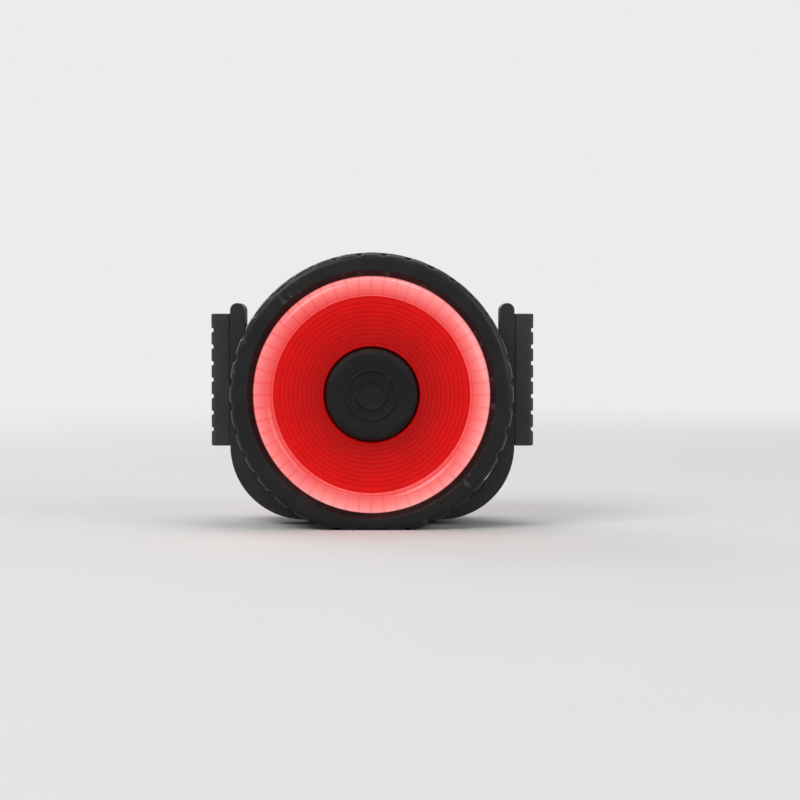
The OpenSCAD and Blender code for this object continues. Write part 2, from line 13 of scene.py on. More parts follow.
import bmesh
import bpy
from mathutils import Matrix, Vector


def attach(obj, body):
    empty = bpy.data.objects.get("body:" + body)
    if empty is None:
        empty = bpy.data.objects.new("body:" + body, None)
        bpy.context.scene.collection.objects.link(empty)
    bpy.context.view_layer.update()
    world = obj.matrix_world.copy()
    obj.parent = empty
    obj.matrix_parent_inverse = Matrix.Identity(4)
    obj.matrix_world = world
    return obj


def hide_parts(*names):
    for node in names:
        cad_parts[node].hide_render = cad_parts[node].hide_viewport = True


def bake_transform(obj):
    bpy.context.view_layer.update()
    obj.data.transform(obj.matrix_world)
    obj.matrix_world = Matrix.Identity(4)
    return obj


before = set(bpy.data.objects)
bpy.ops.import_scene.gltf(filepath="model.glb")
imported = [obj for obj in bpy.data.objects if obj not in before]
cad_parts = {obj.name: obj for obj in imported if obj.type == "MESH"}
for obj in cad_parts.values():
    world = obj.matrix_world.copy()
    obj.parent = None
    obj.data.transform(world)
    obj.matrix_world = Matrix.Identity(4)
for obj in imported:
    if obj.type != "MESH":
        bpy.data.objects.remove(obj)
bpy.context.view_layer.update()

MM = 0.001
LENS_Z = 20.0
BODY_R = 21.0
FOOT_IN = 18.6
SHARP_EDGE = math.radians(38)
BEVEL_ANGLE = math.radians(32)
BEVEL_STEPS = 3
FLAT_ANGLE = math.radians(0.5)
WELD_GAP = 0.001
PIN_EDGE = 0.12
LENS_AXIS = (0.0, 1.0, 0.0)
LENS_IOR = 1.49
LENS_SCRATCHES = 4200.0
HOUSING = "housing"
LOG = logging.getLogger("spoke_light")

Colour = tuple[float, float, float]
Point = tuple[float, float]
Warp = Callable[[float, float, float], Point]
Ring = list[bmesh.types.BMVert]
Material = bpy.types.Material
NodeTree = bpy.types.NodeTree
Socket = bpy.types.NodeSocket
Sockets = bpy.types.NodeOutputs
Value = float | Socket
Inputs = dict[str | int, object]


class Face(Enum):
    """Face of the lamp that a piece belongs to, as the sign of its outward Y."""

    FRONT = -1
    REAR = 1


class Side(Enum):
    """Side of the lamp that an arm belongs to, as the sign of its X."""

    LEFT = -1
    RIGHT = 1


class Wear(Enum):
    """Where a moulded finish is rubbed pale."""

    BY_CURVE = "along sharp bends of a fine mesh"
    ALL_OVER = "all over, for the softened edges of a CAD node"
    NOWHERE = "nowhere, for the faces between those edges and for pieces inside"


# Shape tools


def smooth_step(start: float, end: float, value: float) -> float:
    """Rises smoothly from 0 at start to 1 at end.

    Args:
        start: Value at which the rise begins.
        end: Value at which it ends.
        value: Value to place on the rise.

    Returns:
        A number from 0 to 1.
    """
    t = min(max((value - start) / (end - start), 0.0), 1.0)
    return t * t * (3 - 2 * t)


def smooth_min(first: float, second: float, reach: float) -> float:
    """Takes the lesser of two numbers, with a rounded change from one to the other.

    Args:
        first: One number.
        second: The other number.
        reach: Difference over which the change is rounded.

    Returns:
        The rounded minimum.
    """
    t = max(reach - abs(first - second), 0.0) / reach
    return min(first, second) - t * t * reach / 4


def flatten_foot(r: float, angle: float) -> float:
    """Draws in a radius where the lamp stands on its flat.

    Args:
        r: Radius from the lens axis, in millimetres.
        angle: Angle round the lens axis, in radians.

    Returns:
        The radius, drawn in towards the flat.
    """
    down = -math.sin(angle)
    if down * BODY_R <= LENS_Z or r <= FOOT_IN:
        return r
    limit = LENS_Z / down
    return FOOT_IN + (r - FOOT_IN) * (limit - FOOT_IN) / (BODY_R - FOOT_IN)


@dataclass(frozen=True)
class Corner:
    """A corner of a turned profile: radius, height and fillet, in millimetres."""

    r: float
    h: float
    fillet: float = 0.0


def fillet_loop(corners: Sequence[Corner], steps: int = 4) -> list[Point]:
    """Rounds the corners of a closed profile.

    Args:
        corners: Corners in order round the profile.
        steps: Straight steps in each fillet.

    Returns:
        Points of the profile, in order.
    """
    loop: list[Point] = []
    for i, corner in enumerate(corners):
        here = Vector((corner.r, corner.h))
        if corner.fillet == 0:
            loop.append((here.x, here.y))
            continue
        before, after = corners[i - 1], corners[(i + 1) % len(corners)]
        back = (Vector((before.r, before.h)) - here).normalized()
        ahead = (Vector((after.r, after.h)) - here).normalized()
        half = back.angle(ahead) / 2
        centre = here + (back + ahead).normalized() * corner.fillet / math.sin(half)
        first = here + back * corner.fillet / math.tan(half) - centre
        last = here + ahead * corner.fillet / math.tan(half) - centre
        start = math.atan2(first.y, first.x)
        sweep = (math.atan2(last.y, last.x) - start + math.pi) % math.tau - math.pi
        for k in range(steps + 1):
            angle = start + sweep * k / steps
            x = centre.x + corner.fillet * math.cos(angle)
            loop.append((x, centre.y + corner.fillet * math.sin(angle)))
    return loop


def add_object(name: str, data: bpy.types.ID) -> bpy.types.Object:
    """Adds an object to the scene.

    Args:
        name: Name of the object.
        data: Its mesh, light or camera.

    Returns:
        The new object.
    """
    thing = bpy.data.objects.new(name, data)
    bpy.context.scene.collection.objects.link(thing)
    return thing


class MeshMaker:
    """Gathers closed bodies, in millimetres from the lens axis, into one mesh object."""

    def __init__(self, face: Face) -> None:
        """Starts an empty mesh on one face of the lamp."""
        self.face = face
        self.mesh = bmesh.new()

    def place(self, x: float, h: float, z: float) -> bmesh.types.BMVert:
        """Adds a vertex at x and z from the lens axis and h out from the middle plane."""
        return self.mesh.verts.new(Vector((x, self.face.value * h, LENS_Z + z)) * MM)

    def skin(self, rings: list[Ring], join_rings: bool, join_rows: bool) -> None:
        """Lays faces between neighbouring rings of vertices.

        Args:
            rings: Rings with the same number of vertices each.
            join_rings: Whether the last ring joins the first.
            join_rows: Whether each ring is closed.
        """
        rows = len(rings[0])
        for i in range(len(rings) if join_rings else len(rings) - 1):
            ring, following = rings[i], rings[(i + 1) % len(rings)]
            for j in range(rows if join_rows else rows - 1):
                k = (j + 1) % rows
                corners = tuple(dict.fromkeys((ring[j], following[j], following[k], ring[k])))
                if len(corners) > 2:
                    self.mesh.faces.new(corners)

    def lathe(
        self,
        loop: Sequence[Point],
        columns: int,
        warp: Warp | None = None,
        centre: Point = (0.0, 0.0),
    ) -> None:
        """Turns a profile about an axis parallel to the lens axis.

        Args:
            loop: Radius and height of each point. A point on the axis has radius 0.
            columns: Steps round the axis.
            warp: Moves a point of given radius, angle and height to a new radius and height.
            centre: The axis, as x and z from the lens axis.
        """
        poles: dict[int, bmesh.types.BMVert] = {}
        rings: list[Ring] = []
        for i in range(columns):
            angle = math.tau * i / columns
            ring = []
            for j, (r, h) in enumerate(loop):
                if r == 0:
                    if j not in poles:
                        poles[j] = self.place(centre[0], h, centre[1])
                    ring.append(poles[j])
                    continue
                if warp:
                    r, h = warp(r, angle, h)
                ring.append(self.place(centre[0] + r * math.cos(angle), h, centre[1] + r * math.sin(angle)))
            rings.append(ring)
        on_axis = loop[0][0] == 0 and loop[-1][0] == 0
        self.skin(rings, join_rings=True, join_rows=not on_axis)

    def loft(self, rings: Sequence[Sequence[Vector]]) -> None:
        """Skins closed rings of points and closes the two ends.

        Args:
            rings: Points as x, h and z.
        """
        placed = [[self.place(*point) for point in ring] for ring in rings]
        self.skin(placed, join_rings=False, join_rows=True)
        self.mesh.faces.new(placed[0])
        self.mesh.faces.new(placed[-1])

    def tube(self, path: Sequence[Vector], radius: float, sides: int, dome_steps: int = 4) -> None:
        """Sweeps a round wire along a path and closes its two ends with domes.

        Args:
            path: Points as x, h and z. It starts across h.
            radius: Radius of the wire.
            sides: Sides of its section.
            dome_steps: Steps from the full radius to the tip of a dome.
        """
        ends = ((path[0] - path[1]).normalized(), (path[-1] - path[-2]).normalized())
        bends = [0.5 * math.pi * k / dome_steps for k in range(1, dome_steps)]
        points = [path[0] + ends[0] * radius * math.sin(a) for a in reversed(bends)]
        radii = [radius * math.cos(a) for a in reversed(bends)]
        points += path
        radii += [radius] * len(path)
        points += [path[-1] + ends[1] * radius * math.sin(a) for a in bends]
        radii += [radius * math.cos(a) for a in bends]
        last = len(points) - 1
        rings = []
        across = Vector(LENS_AXIS)
        for i, (point, size) in enumerate(zip(points, radii)):
            along = (points[min(i + 1, last)] - points[max(i - 1, 0)]).normalized()
            across = (across - along * across.dot(along)).normalized()
            other = along.cross(across)
            ring = []
            for k in range(sides):
                angle = math.tau * k / sides
                ring.append(point + size * (math.cos(angle) * across + math.sin(angle) * other))
            rings.append(ring)
        self.loft(rings)

    def paint(self, index: int, chosen: Callable[[float, float], bool]) -> None:
        """Gives faces another material slot.

        Args:
            index: Material slot.
            chosen: Says, from a face's radius and height in millimetres, whether it takes the slot.
        """
        for face in self.mesh.faces:
            middle = face.calc_center_median() / MM
            if chosen(math.hypot(middle.x, middle.z - LENS_Z), self.face.value * middle.y):
                face.material_index = index

    def to_object(self, name: str, *finishes: Material) -> bpy.types.Object:
        """Turns the gathered bodies into an object in the scene.

        Args:
            name: Name of the piece.
            *finishes: Materials, in the order of their slots.

        Returns:
            The new object, with smooth shading between its sharp edges.
        """
        bmesh.ops.recalc_face_normals(self.mesh, faces=self.mesh.faces)
        for face in self.mesh.faces:
            face.smooth = True
        for edge in self.mesh.edges:
            edge.smooth = edge.calc_face_angle(0.0) < SHARP_EDGE
        data = bpy.data.meshes.new(name)
        self.mesh.to_mesh(data)
        self.mesh.free()
        for finish in finishes:
            data.materials.append(finish)
        piece = add_object(name, data)
        weighted = piece.modifiers.new("even_normals", "WEIGHTED_NORMAL")
        weighted.keep_sharp = True
        return piece


def settle(piece: bpy.types.Object, body: str, slot: str, *nodes: str) -> None:
    """Lets a piece ride on a body, in place of CAD nodes or beside them.

    Args:
        piece: The piece.
        body: CAD body that it moves with.
        slot: The record's material slot. It is not used.
        *nodes: CAD nodes that it stands for, if any.
    """
    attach(piece, body)
    if nodes:
        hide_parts(*nodes)
    LOG.info("%s rides on %s", piece.name, body)


def dress(finishes: Sequence[Material], *nodes: str, edge: float = 0.0) -> None:
    """Gives CAD nodes a finish, and softens their edges.

    Args:
        finishes: Material for the faces, and one for the softened edges if they have their own.
        *nodes: Names of the CAD nodes.
        edge: Width of the softened edges in millimetres, or 0 to leave them as they are.
    """
    for node in nodes:
        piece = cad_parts[node]
        piece.data.materials.clear()
        for finish in finishes:
            piece.data.materials.append(finish)
        if edge:
            weld = piece.modifiers.new("weld", "WELD")
            weld.merge_threshold = WELD_GAP * MM
            flats = piece.modifiers.new("flats", "DECIMATE")
            flats.decimate_type = "DISSOLVE"
            flats.angle_limit = FLAT_ANGLE
            bevel = piece.modifiers.new("edges", "BEVEL")
            bevel.width = edge * MM
            bevel.segments = BEVEL_STEPS
            bevel.limit_method = "ANGLE"
            bevel.angle_limit = BEVEL_ANGLE
            bevel.material = len(finishes) - 1
            weighted = piece.modifiers.new("even_normals", "WEIGHTED_NORMAL")
            weighted.keep_sharp = False
        LOG.info("%s keeps its CAD shape", node)


# Shader tools


def rgba(colour: Colour, share: float = 1.0) -> tuple[float, float, float, float]:
    """Gives a colour, or a share of it, with full opacity."""
    return (*(share * c for c in colour), 1.0)


class Graph:
    """Short calls that add nodes and links to a node tree.

    The colour sockets of a Mix node share their names with others, so they are taken by number.
    """

    first_colour = 6
    second_colour = 7
    mixed_colour = 2

    def __init__(self, tree: NodeTree) -> None:
        """Works on the given tree."""
        self.tree = tree

    def feed(self, node: bpy.types.Node, inputs: Inputs) -> None:
        """Fills a node's inputs.

        Args:
            node: The node.
            inputs: Sockets to link, or values to set, by input name or number.
        """
        for name, value in inputs.items():
            if isinstance(value, Socket):
                self.tree.links.new(value, node.inputs[name])
            else:
                node.inputs[name].default_value = value

    def add(self, kind: str, inputs: Inputs | None = None, **settings: object) -> bpy.types.Node:
        """Adds a node.

        Args:
            kind: Node type, without its ShaderNode prefix.
            inputs: Sockets to link, or values to set, by input name or number.
            **settings: Properties of the node.

        Returns:
            The new node.
        """
        node = self.tree.nodes.new("ShaderNode" + kind)
        for name, setting in settings.items():
            setattr(node, name, setting)
        self.feed(node, inputs or {})
        return node

    def math(self, operation: str, *values: Value) -> Socket:
        """Combines values with one Math node."""
        return self.add("Math", dict(enumerate(values)), operation=operation).outputs[0]

    def fade(self, value: Value, start: Value, end: Value, low: Value = 0.0, high: Value = 1.0) -> Socket:
        """Rises smoothly with a value.

        Args:
            value: Value to follow.
            start: Value at which the rise begins.
            end: Value at which it ends.
            low: Result below the rise.
            high: Result above the rise.

        Returns:
            The result's socket.
        """
        inputs = {"Value": value, "From Min": start, "From Max": end, "To Min": low, "To Max": high}
        return self.add("MapRange", inputs, interpolation_type="SMOOTHSTEP").outputs["Result"]

    def mix(self, factor: Value, first: object, second: object) -> Socket:
        """Mixes two colours, each a socket or red, green, blue and opacity."""
        inputs = {0: factor, self.first_colour: first, self.second_colour: second}
        return self.add("Mix", inputs, data_type="RGBA").outputs[self.mixed_colour]

    def noise(self, vector: Value, scale: Value, detail: float = 3.0) -> Socket:
        """Cloudy noise from 0 to 1."""
        return self.add("TexNoise", {"Vector": vector, "Scale": scale, "Detail": detail}).outputs["Fac"]

    def bump(self, height: Value, depth: float, strength: float = 1.0) -> Socket:
        """Turns a height into a normal, for relief of a depth in millimetres."""
        inputs = {"Height": height, "Distance": depth * MM, "Strength": strength}
        return self.add("Bump", inputs).outputs[0]

    def group(self, tree: NodeTree, inputs: Inputs) -> Sockets:
        """Places a node group and gives its outputs."""
        return self.add("Group", inputs, node_tree=tree).outputs


def new_group(
    name: str, inputs: dict[str, str], outputs: Sequence[str]
) -> tuple[Graph, Sockets, bpy.types.Node]:
    """Starts a shader node group whose outputs are plain values.

    Args:
        name: Name of the group.
        inputs: Socket type of each input, by its name.
        outputs: Names of the outputs.

    Returns:
        The group's graph, the sockets that it is given, and the node that takes its outputs.
    """
    tree = bpy.data.node_groups.new(name, "ShaderNodeTree")
    for label, kind in inputs.items():
        tree.interface.new_socket(name=label, in_out="INPUT", socket_type="NodeSocket" + kind)
    for label in outputs:
        tree.interface.new_socket(name=label, in_out="OUTPUT", socket_type="NodeSocketFloat")
    given = tree.nodes.new("NodeGroupInput").outputs
    return Graph(tree), given, tree.nodes.new("NodeGroupOutput")


class Effects:
    """Shader node groups that several finishes share.

    Scales are per metre, apart from the fine and the slow one, which multiply the grain's own.
    """

    fine_scale = 1.7
    slow_scale = 0.05
    pebble_share = 0.6
    fine_share = 0.35
    tone_range = (0.32, 0.68)
    edge_range = (0.51, 0.6)
    broken_scale = 900.0
    broken_range = (0.38, 0.62)
    facing_range = (-0.2, 1.0)
    dust_below = 0.25
    speck_scale = 5200.0
    speck_range = (0.6, 0.74)
    speck_share = 0.5
    haze_scale = 160.0
    haze_range = (0.35, 0.75)
    haze_share = 0.2
    scratch_turns = (0.35, 1.3, 2.4)
    scratch_draws = (0.07, 0.05, 0.09)
    scratch_range = (0.67, 0.71)

    def __init__(self) -> None:
        """Builds each group once."""
        self.grain = self.build_grain()
        self.wear = self.build_wear()
        self.dust = self.build_dust()
        self.scratches = self.build_scratches()
        self.polar = self.build_polar()

    def build_grain(self) -> NodeTree:
        """Makes pebbled mould texture: a height for bump, and slow changes of tone.

        Returns:
            The node group.
        """
        inputs = {"Vector": "Vector", "Scale": "Float"}
        g, given, leave = new_group("mould_grain", inputs, ("Height", "Tone"))
        vector, scale = given["Vector"], given["Scale"]
        pebbles = g.add("TexVoronoi", {"Vector": vector, "Scale": scale}, feature="SMOOTH_F1")
        fine = g.noise(vector, g.math("MULTIPLY", scale, self.fine_scale), detail=4.0)
        slow = g.noise(vector, g.math("MULTIPLY", scale, self.slow_scale))
        slow_part = g.math("MULTIPLY", slow, 1 - self.fine_share)
        cloud = g.math("MULTIPLY_ADD", fine, self.fine_share, slow_part)
        height = g.math("MULTIPLY_ADD", pebbles.outputs["Distance"], self.pebble_share, fine)
        g.feed(leave, {"Height": height, "Tone": g.fade(cloud, *self.tone_range)})
        return g.tree

    def build_wear(self) -> NodeTree:
        """Makes rubbed edges: a mask on the outward edges, broken up by noise.

        Returns:
            The node group.
        """
        inputs = {"Pointiness": "Float", "Vector": "Vector", "Amount": "Float"}
        g, given, leave = new_group("edge_wear", inputs, ("Mask",))
        edge = g.fade(given["Pointiness"], *self.edge_range)
        broken = g.fade(g.noise(given["Vector"], self.broken_scale, detail=5.0), *self.broken_range)
        g.feed(leave, {"Mask": g.math("MULTIPLY", g.math("MULTIPLY", edge, broken), given["Amount"])})
        return g.tree

    def build_dust(self) -> NodeTree:
        """Makes settled dust: a mask that is stronger on surfaces that face up.

        Returns:
            The node group.
        """
        inputs = {"Normal": "Vector", "Vector": "Vector", "Amount": "Float"}
        g, given, leave = new_group("settled_dust", inputs, ("Mask",))
        up = g.add("SeparateXYZ", {0: given["Normal"]}).outputs["Z"]
        facing = g.fade(up, *self.facing_range, self.dust_below, 1.0)
        specks = g.fade(g.noise(given["Vector"], self.speck_scale, detail=2.0), *self.speck_range)
        haze = g.fade(g.noise(given["Vector"], self.haze_scale, detail=4.0), *self.haze_range)
        haze_part = g.math("MULTIPLY", haze, self.haze_share)
        both = g.math("MULTIPLY_ADD", specks, self.speck_share, haze_part)
        g.feed(leave, {"Mask": g.math("MULTIPLY", g.math("MULTIPLY", both, facing), given["Amount"])})
        return g.tree

    def build_scratches(self) -> NodeTree:
        """Makes hair scratches: a mask of thin lines in three directions of the lens face.

        Returns:
            The node group.
        """
        g, given, leave = new_group("hair_scratches", {"Vector": "Vector", "Scale": "Float"}, ("Mask",))
        mask: Value = 0.0
        for turn, draw in zip(self.scratch_turns, self.scratch_draws):
            inputs = {"Vector": given["Vector"], "Axis": LENS_AXIS, "Angle": turn}
            turned = g.add("VectorRotate", inputs, rotation_type="AXIS_ANGLE").outputs[0]
            inputs = {0: turned, 1: (1.0, 1.0, draw)}
            drawn = g.add("VectorMath", inputs, operation="MULTIPLY").outputs[0]
            line = g.fade(g.noise(drawn, given["Scale"], detail=1.0), *self.scratch_range)
            mask = g.math("MAXIMUM", line, mask)
        g.feed(leave, {"Mask": mask})
        return g.tree

    def build_polar(self) -> NodeTree:
        """Makes the place round the lens axis: radius in millimetres, and turn from 0 to 1.

        Returns:
            The node group.
        """
        g, given, leave = new_group("lens_polar", {"Vector": "Vector"}, ("Radius", "Turn"))
        parts = g.add("SeparateXYZ", {0: given["Vector"]}).outputs
        x = g.math("MULTIPLY", parts["X"], 1 / MM)
        z = g.math("MULTIPLY_ADD", parts["Z"], 1 / MM, -LENS_Z)
        radius = g.math("SQRT", g.math("MULTIPLY_ADD", x, x, g.math("MULTIPLY", z, z)))
        turn = g.math("MULTIPLY_ADD", g.math("ARCTAN2", z, x), 1 / math.tau, 0.5)
        g.feed(leave, {"Radius": radius, "Turn": turn})
        return g.tree


def start_graph(owner: Material | bpy.types.World) -> Graph:
    """Starts the nodes of a material or a world anew.

    Args:
        owner: The material or world.

    Returns:
        Its empty graph.
    """
    owner.use_nodes = True
    owner.node_tree.nodes.clear()
    return Graph(owner.node_tree)


class MaterialGraph(Graph):
    """Graph of one material, with the shared effects at its object coordinates."""

    def __init__(self, material: Material, effects: Effects) -> None:
        """Starts the material's nodes with its coordinates.

        Args:
            material: The material.
            effects: Shared node groups.
        """
        super().__init__(start_graph(material).tree)
        self.effects = effects
        self.at = self.add("TexCoord").outputs["Object"]

    def grain(self, scale: float) -> Sockets:
        """Gives the height and the tone of mould grain."""
        return self.group(self.effects.grain, {"Vector": self.at, "Scale": scale})

    def wear(self, pointiness: Value, amount: float) -> Socket:
        """Gives the mask of rubbed edges."""
        inputs = {"Pointiness": pointiness, "Vector": self.at, "Amount": amount}
        return self.group(self.effects.wear, inputs)["Mask"]

    def dust(self, normal: Socket, amount: float) -> Socket:
        """Gives the mask of settled dust."""
        inputs = {"Normal": normal, "Vector": self.at, "Amount": amount}
        return self.group(self.effects.dust, inputs)["Mask"]

    def scratches(self, scale: float) -> Socket:
        """Gives the mask of hair scratches."""
        return self.group(self.effects.scratches, {"Vector": self.at, "Scale": scale})["Mask"]

    def polar(self) -> Sockets:
        """Gives the radius and the turn round the lens axis."""
        return self.group(self.effects.polar, {"Vector": self.at})


@dataclass(frozen=True)
class Finish:
    """A surface finish. Each subclass says what feeds its shader."""

    name: str

    def feeds(self, g: MaterialGraph) -> Inputs:
        """Gives the shader's inputs, which each subclass adds the nodes for."""
        raise NotImplementedError

    def build(self, effects: Effects) -> Material:
        """Builds the material.

        Args:
            effects: Shared node groups.

        Returns:
            The material.
        """
        material = bpy.data.materials.new(self.name)
        g = MaterialGraph(material, effects)
        shader = g.add("BsdfPrincipled", self.feeds(g))
        g.add("OutputMaterial", {"Surface": shader.outputs[0]})
        return material


@dataclass(frozen=True)
class MouldedFinish(Finish):
    """Moulded plastic or rubber: grain, rubbed edges and dust."""

    colour: Colour
    pale: Colour
    rough: float
    grain: float = 5200.0
    depth: float = 0.012
    wear: float = 0.6
    worn: Wear = Wear.BY_CURVE
    dust: float = 0.3
    specular: float = 0.3
    deep: float = 0.7
    rough_play: float = 0.07
    rubbed_smooth: float = 0.12
    dust_rough: float = 0.3
    dust_colour: Colour = (0.36, 0.34, 0.31)

    def feeds(self, g: MaterialGraph) -> Inputs:
        """Lays wear over the grain's tones, and dust over both.

        Args:
            g: The material's graph.

        Returns:
            Sockets and values by the names of the shader's inputs.
        """
        surface = g.add("NewGeometry").outputs
        grain = g.grain(self.grain)
        colour = g.mix(grain["Tone"], rgba(self.colour, self.deep), rgba(self.colour))
        rough_low, rough_high = self.rough - self.rough_play, self.rough + self.rough_play
        rough = g.fade(grain["Tone"], 0.0, 1.0, rough_low, rough_high)
        if self.worn is not Wear.NOWHERE:
            rubbed = g.wear(surface["Pointiness"] if self.worn is Wear.BY_CURVE else 1.0, self.wear)
            colour = g.mix(rubbed, colour, rgba(self.pale))
            rough = g.math("MULTIPLY_ADD", rubbed, -self.rubbed_smooth, rough)
        if self.dust:
            dust = g.dust(surface["Normal"], self.dust)
            colour = g.mix(dust, colour, rgba(self.dust_colour))
            rough = g.math("MULTIPLY_ADD", dust, self.dust_rough, rough)
        return {
            "Base Color": colour,
            "Roughness": rough,
            "Normal": g.bump(grain["Height"], self.depth),
            "Specular IOR Level": self.specular,
        }


@dataclass(frozen=True)
class MetalFinish(Finish):
    """Drawn or plated metal: streaks, scratches and a dull film."""

    colour: Colour
    rough: float
    streak: tuple[float, float, float] = (1.0, 0.08, 1.0)
    streak_scale: float = 7000.0
    streak_range: Point = (0.25, 0.75)
    streak_smooth: float = 0.08
    streak_rough: float = 0.14
    streak_depth: float = 0.004
    streak_strength: float = 0.8
    film_scale: float = 420.0
    film_range: Point = (0.35, 0.7)
    film_rough: float = 0.1
    dull: float = 0.62
    scratch_scale: float = 3800.0

    def feeds(self, g: MaterialGraph) -> Inputs:
        """Draws streaks along the metal, under a film that scratches go through.

        Args:
            g: The material's graph.

        Returns:
            Sockets and values by the names of the shader's inputs.
        """
        drawn = g.add("VectorMath", {0: g.at, 1: self.streak}, operation="MULTIPLY").outputs[0]
        streaks = g.noise(drawn, self.streak_scale)
        film = g.fade(g.noise(g.at, self.film_scale, detail=4.0), *self.film_range)
        base = g.mix(film, rgba(self.colour), rgba(self.colour, self.dull))
        rough_low, rough_high = self.rough - self.streak_smooth, self.rough + self.streak_rough
        rough = g.fade(streaks, *self.streak_range, rough_low, rough_high)
        return {
            "Base Color": g.mix(g.scratches(self.scratch_scale), base, rgba(self.colour)),
            "Roughness": g.math("MULTIPLY_ADD", film, self.film_rough, rough),
            "Normal": g.bump(streaks, self.streak_depth, self.streak_strength),
            "Metallic": 1.0,
        }


@dataclass(frozen=True)
class LitRingFinish(Finish):
    """Lit ring of a lens: pink-red, brightest near its outer edge, crossed by the ticks of its flutes.

    Each stop is a place from the inner edge, 0, to the outer edge, 1, and the glow's colour there.
    """

    inner: float
    outer: float
    flutes: int
    leds: int
    led_start: float
    stops: tuple[tuple[float, Colour], ...] = (
        (0.0, (0.82, 0.16, 0.156)),
        (0.07, (0.74, 0.075, 0.073)),
        (0.4, (0.78, 0.17, 0.166)),
        (0.84, (0.8, 0.32, 0.314)),
        (0.93, (0.84, 0.39, 0.384)),
        (1.0, (0.78, 0.27, 0.265)),
    )
    deep_red: Colour = (0.66, 0.03, 0.03)
    deep_turn: float = 0.96
    deep_start: float = 0.1
    deep_side: float = 0.34
    tick_w: float = 0.34
    tick: float = 0.24
    led_dip: float = 0.06
    cloud: float = 0.16
    cloud_scale: float = 260.0
    body_in: Colour = (0.2, 0.004, 0.004)
    body_out: Colour = (0.32, 0.012, 0.012)
    smooth: float = 0.14
    scratched: float = 0.3
    specular: float = 0.35
    coat: float = 0.15
    coat_rough: float = 0.05

    def glow(self, g: MaterialGraph, radius: Socket) -> Socket:
        """Gives the colour of the glow.

        Args:
            g: The material's graph.
            radius: Radius from the lens axis.

        Returns:
            The colour.
        """
        from_inner = g.math("SUBTRACT", radius, self.inner)
        glow = g.add("ValToRGB", {"Fac": g.math("DIVIDE", from_inner, self.outer - self.inner)})
        ramp = glow.color_ramp.elements
        for place, _ in self.stops[1:-1]:
            ramp.new(place)
        for element, (place, colour) in zip(ramp, self.stops):
            element.position = place
            element.color = rgba(colour)
        return glow.outputs["Color"]

    def shade(self, g: MaterialGraph, turn: Socket) -> Socket:
        """Gives how far flutes, the gaps between LEDs, clouds and the deeper side darken the glow.

        Args:
            g: The material's graph.
            turn: Turn round the lens axis.

        Returns:
            The share of deep red.
        """
        step = g.math("FRACT", g.math("MULTIPLY_ADD", turn, float(self.flutes), 0.5))
        off_tick = g.math("ABSOLUTE", g.math("MULTIPLY_ADD", step, 2.0, -1.0))
        tick = g.fade(off_tick, 0.0, self.tick_w, 1.0, 0.0)
        whole_turns = self.leds * (self.led_start / 360 + 0.5)
        led_turn = g.math("MULTIPLY_ADD", turn, float(self.leds), -whole_turns)
        led = g.math("COSINE", g.math("MULTIPLY", led_turn, math.tau))
        clouds = g.math("MULTIPLY", g.noise(g.at, self.cloud_scale), self.cloud)
        soft = g.math("MULTIPLY_ADD", led, -self.led_dip, clouds)
        from_deep = g.math("MULTIPLY_ADD", turn, math.tau, -math.tau * self.deep_turn)
        deep = g.fade(g.math("COSINE", from_deep), self.deep_start, 1.0, 0.0, self.deep_side)
        return g.math("ADD", g.math("MULTIPLY_ADD", tick, self.tick, soft), deep)

    def feeds(self, g: MaterialGraph) -> Inputs:
        """Lights the ring, over a red body with fine scratches.

        Args:
            g: The material's graph.

        Returns:
            Sockets and values by the names of the shader's inputs.
        """
        polar = g.polar()
        across = g.fade(polar["Radius"], self.inner, self.outer)
        glow = self.glow(g, polar["Radius"])
        return {
            "Emission Color": g.mix(self.shade(g, polar["Turn"]), glow, rgba(self.deep_red)),
            "Emission Strength": 1.0,
            "Base Color": g.mix(across, rgba(self.body_in), rgba(self.body_out)),
            "Roughness": g.fade(g.scratches(LENS_SCRATCHES), 0.0, 1.0, self.smooth, self.scratched),
            "IOR": LENS_IOR,
            "Specular IOR Level": self.specular,
            "Coat Weight": self.coat,
            "Coat Roughness": self.coat_rough,
        }


@dataclass(frozen=True)
class PrismFinish(Finish):
    """Plate inside the lit ring: deep red, with light that spills in from the ring over its prisms."""

    inner: float
    outer: float
    pitch: float
    spill_past: float = 1.0
    spill_low: float = 0.35
    slope_share: float = 0.45
    spread_share: float = 0.3
    spread_low: float = 0.4
    spread_scale: float = 300.0
    lit_low: Colour = (0.16, 0.0002, 0.0002)
    lit_high: Colour = (0.6, 0.001, 0.001)
    body_low: Colour = (0.16, 0.0005, 0.0005)
    body_high: Colour = (0.24, 0.001, 0.001)
    smooth: float = 0.12
    scratched: float = 0.3
    specular: float = 0.16

    def feeds(self, g: MaterialGraph) -> Inputs:
        """Lights the prisms' slopes, more towards the ring.

        Args:
            g: The material's graph.

        Returns:
            Sockets and values by the names of the shader's inputs.
        """
        radius = g.polar()["Radius"]
        spill = g.fade(radius, self.inner - self.spill_past, self.outer, self.spill_low, 1.0)
        slope = g.math("FRACT", g.math("DIVIDE", g.math("SUBTRACT", radius, self.inner), self.pitch))
        spread = g.noise(g.at, self.spread_scale)
        even = g.math("MULTIPLY_ADD", spread, self.spread_share, self.spread_low)
        level = g.math("MULTIPLY", spill, g.math("MULTIPLY_ADD", slope, self.slope_share, even))
        return {
            "Emission Color": g.mix(level, rgba(self.lit_low), rgba(self.lit_high)),
            "Emission Strength": 1.0,
            "Base Color": g.mix(spread, rgba(self.body_low), rgba(self.body_high)),
            "Roughness": g.fade(g.scratches(LENS_SCRATCHES), 0.0, 1.0, self.smooth, self.scratched),
            "IOR": LENS_IOR,
            "Specular IOR Level": self.specular,
        }


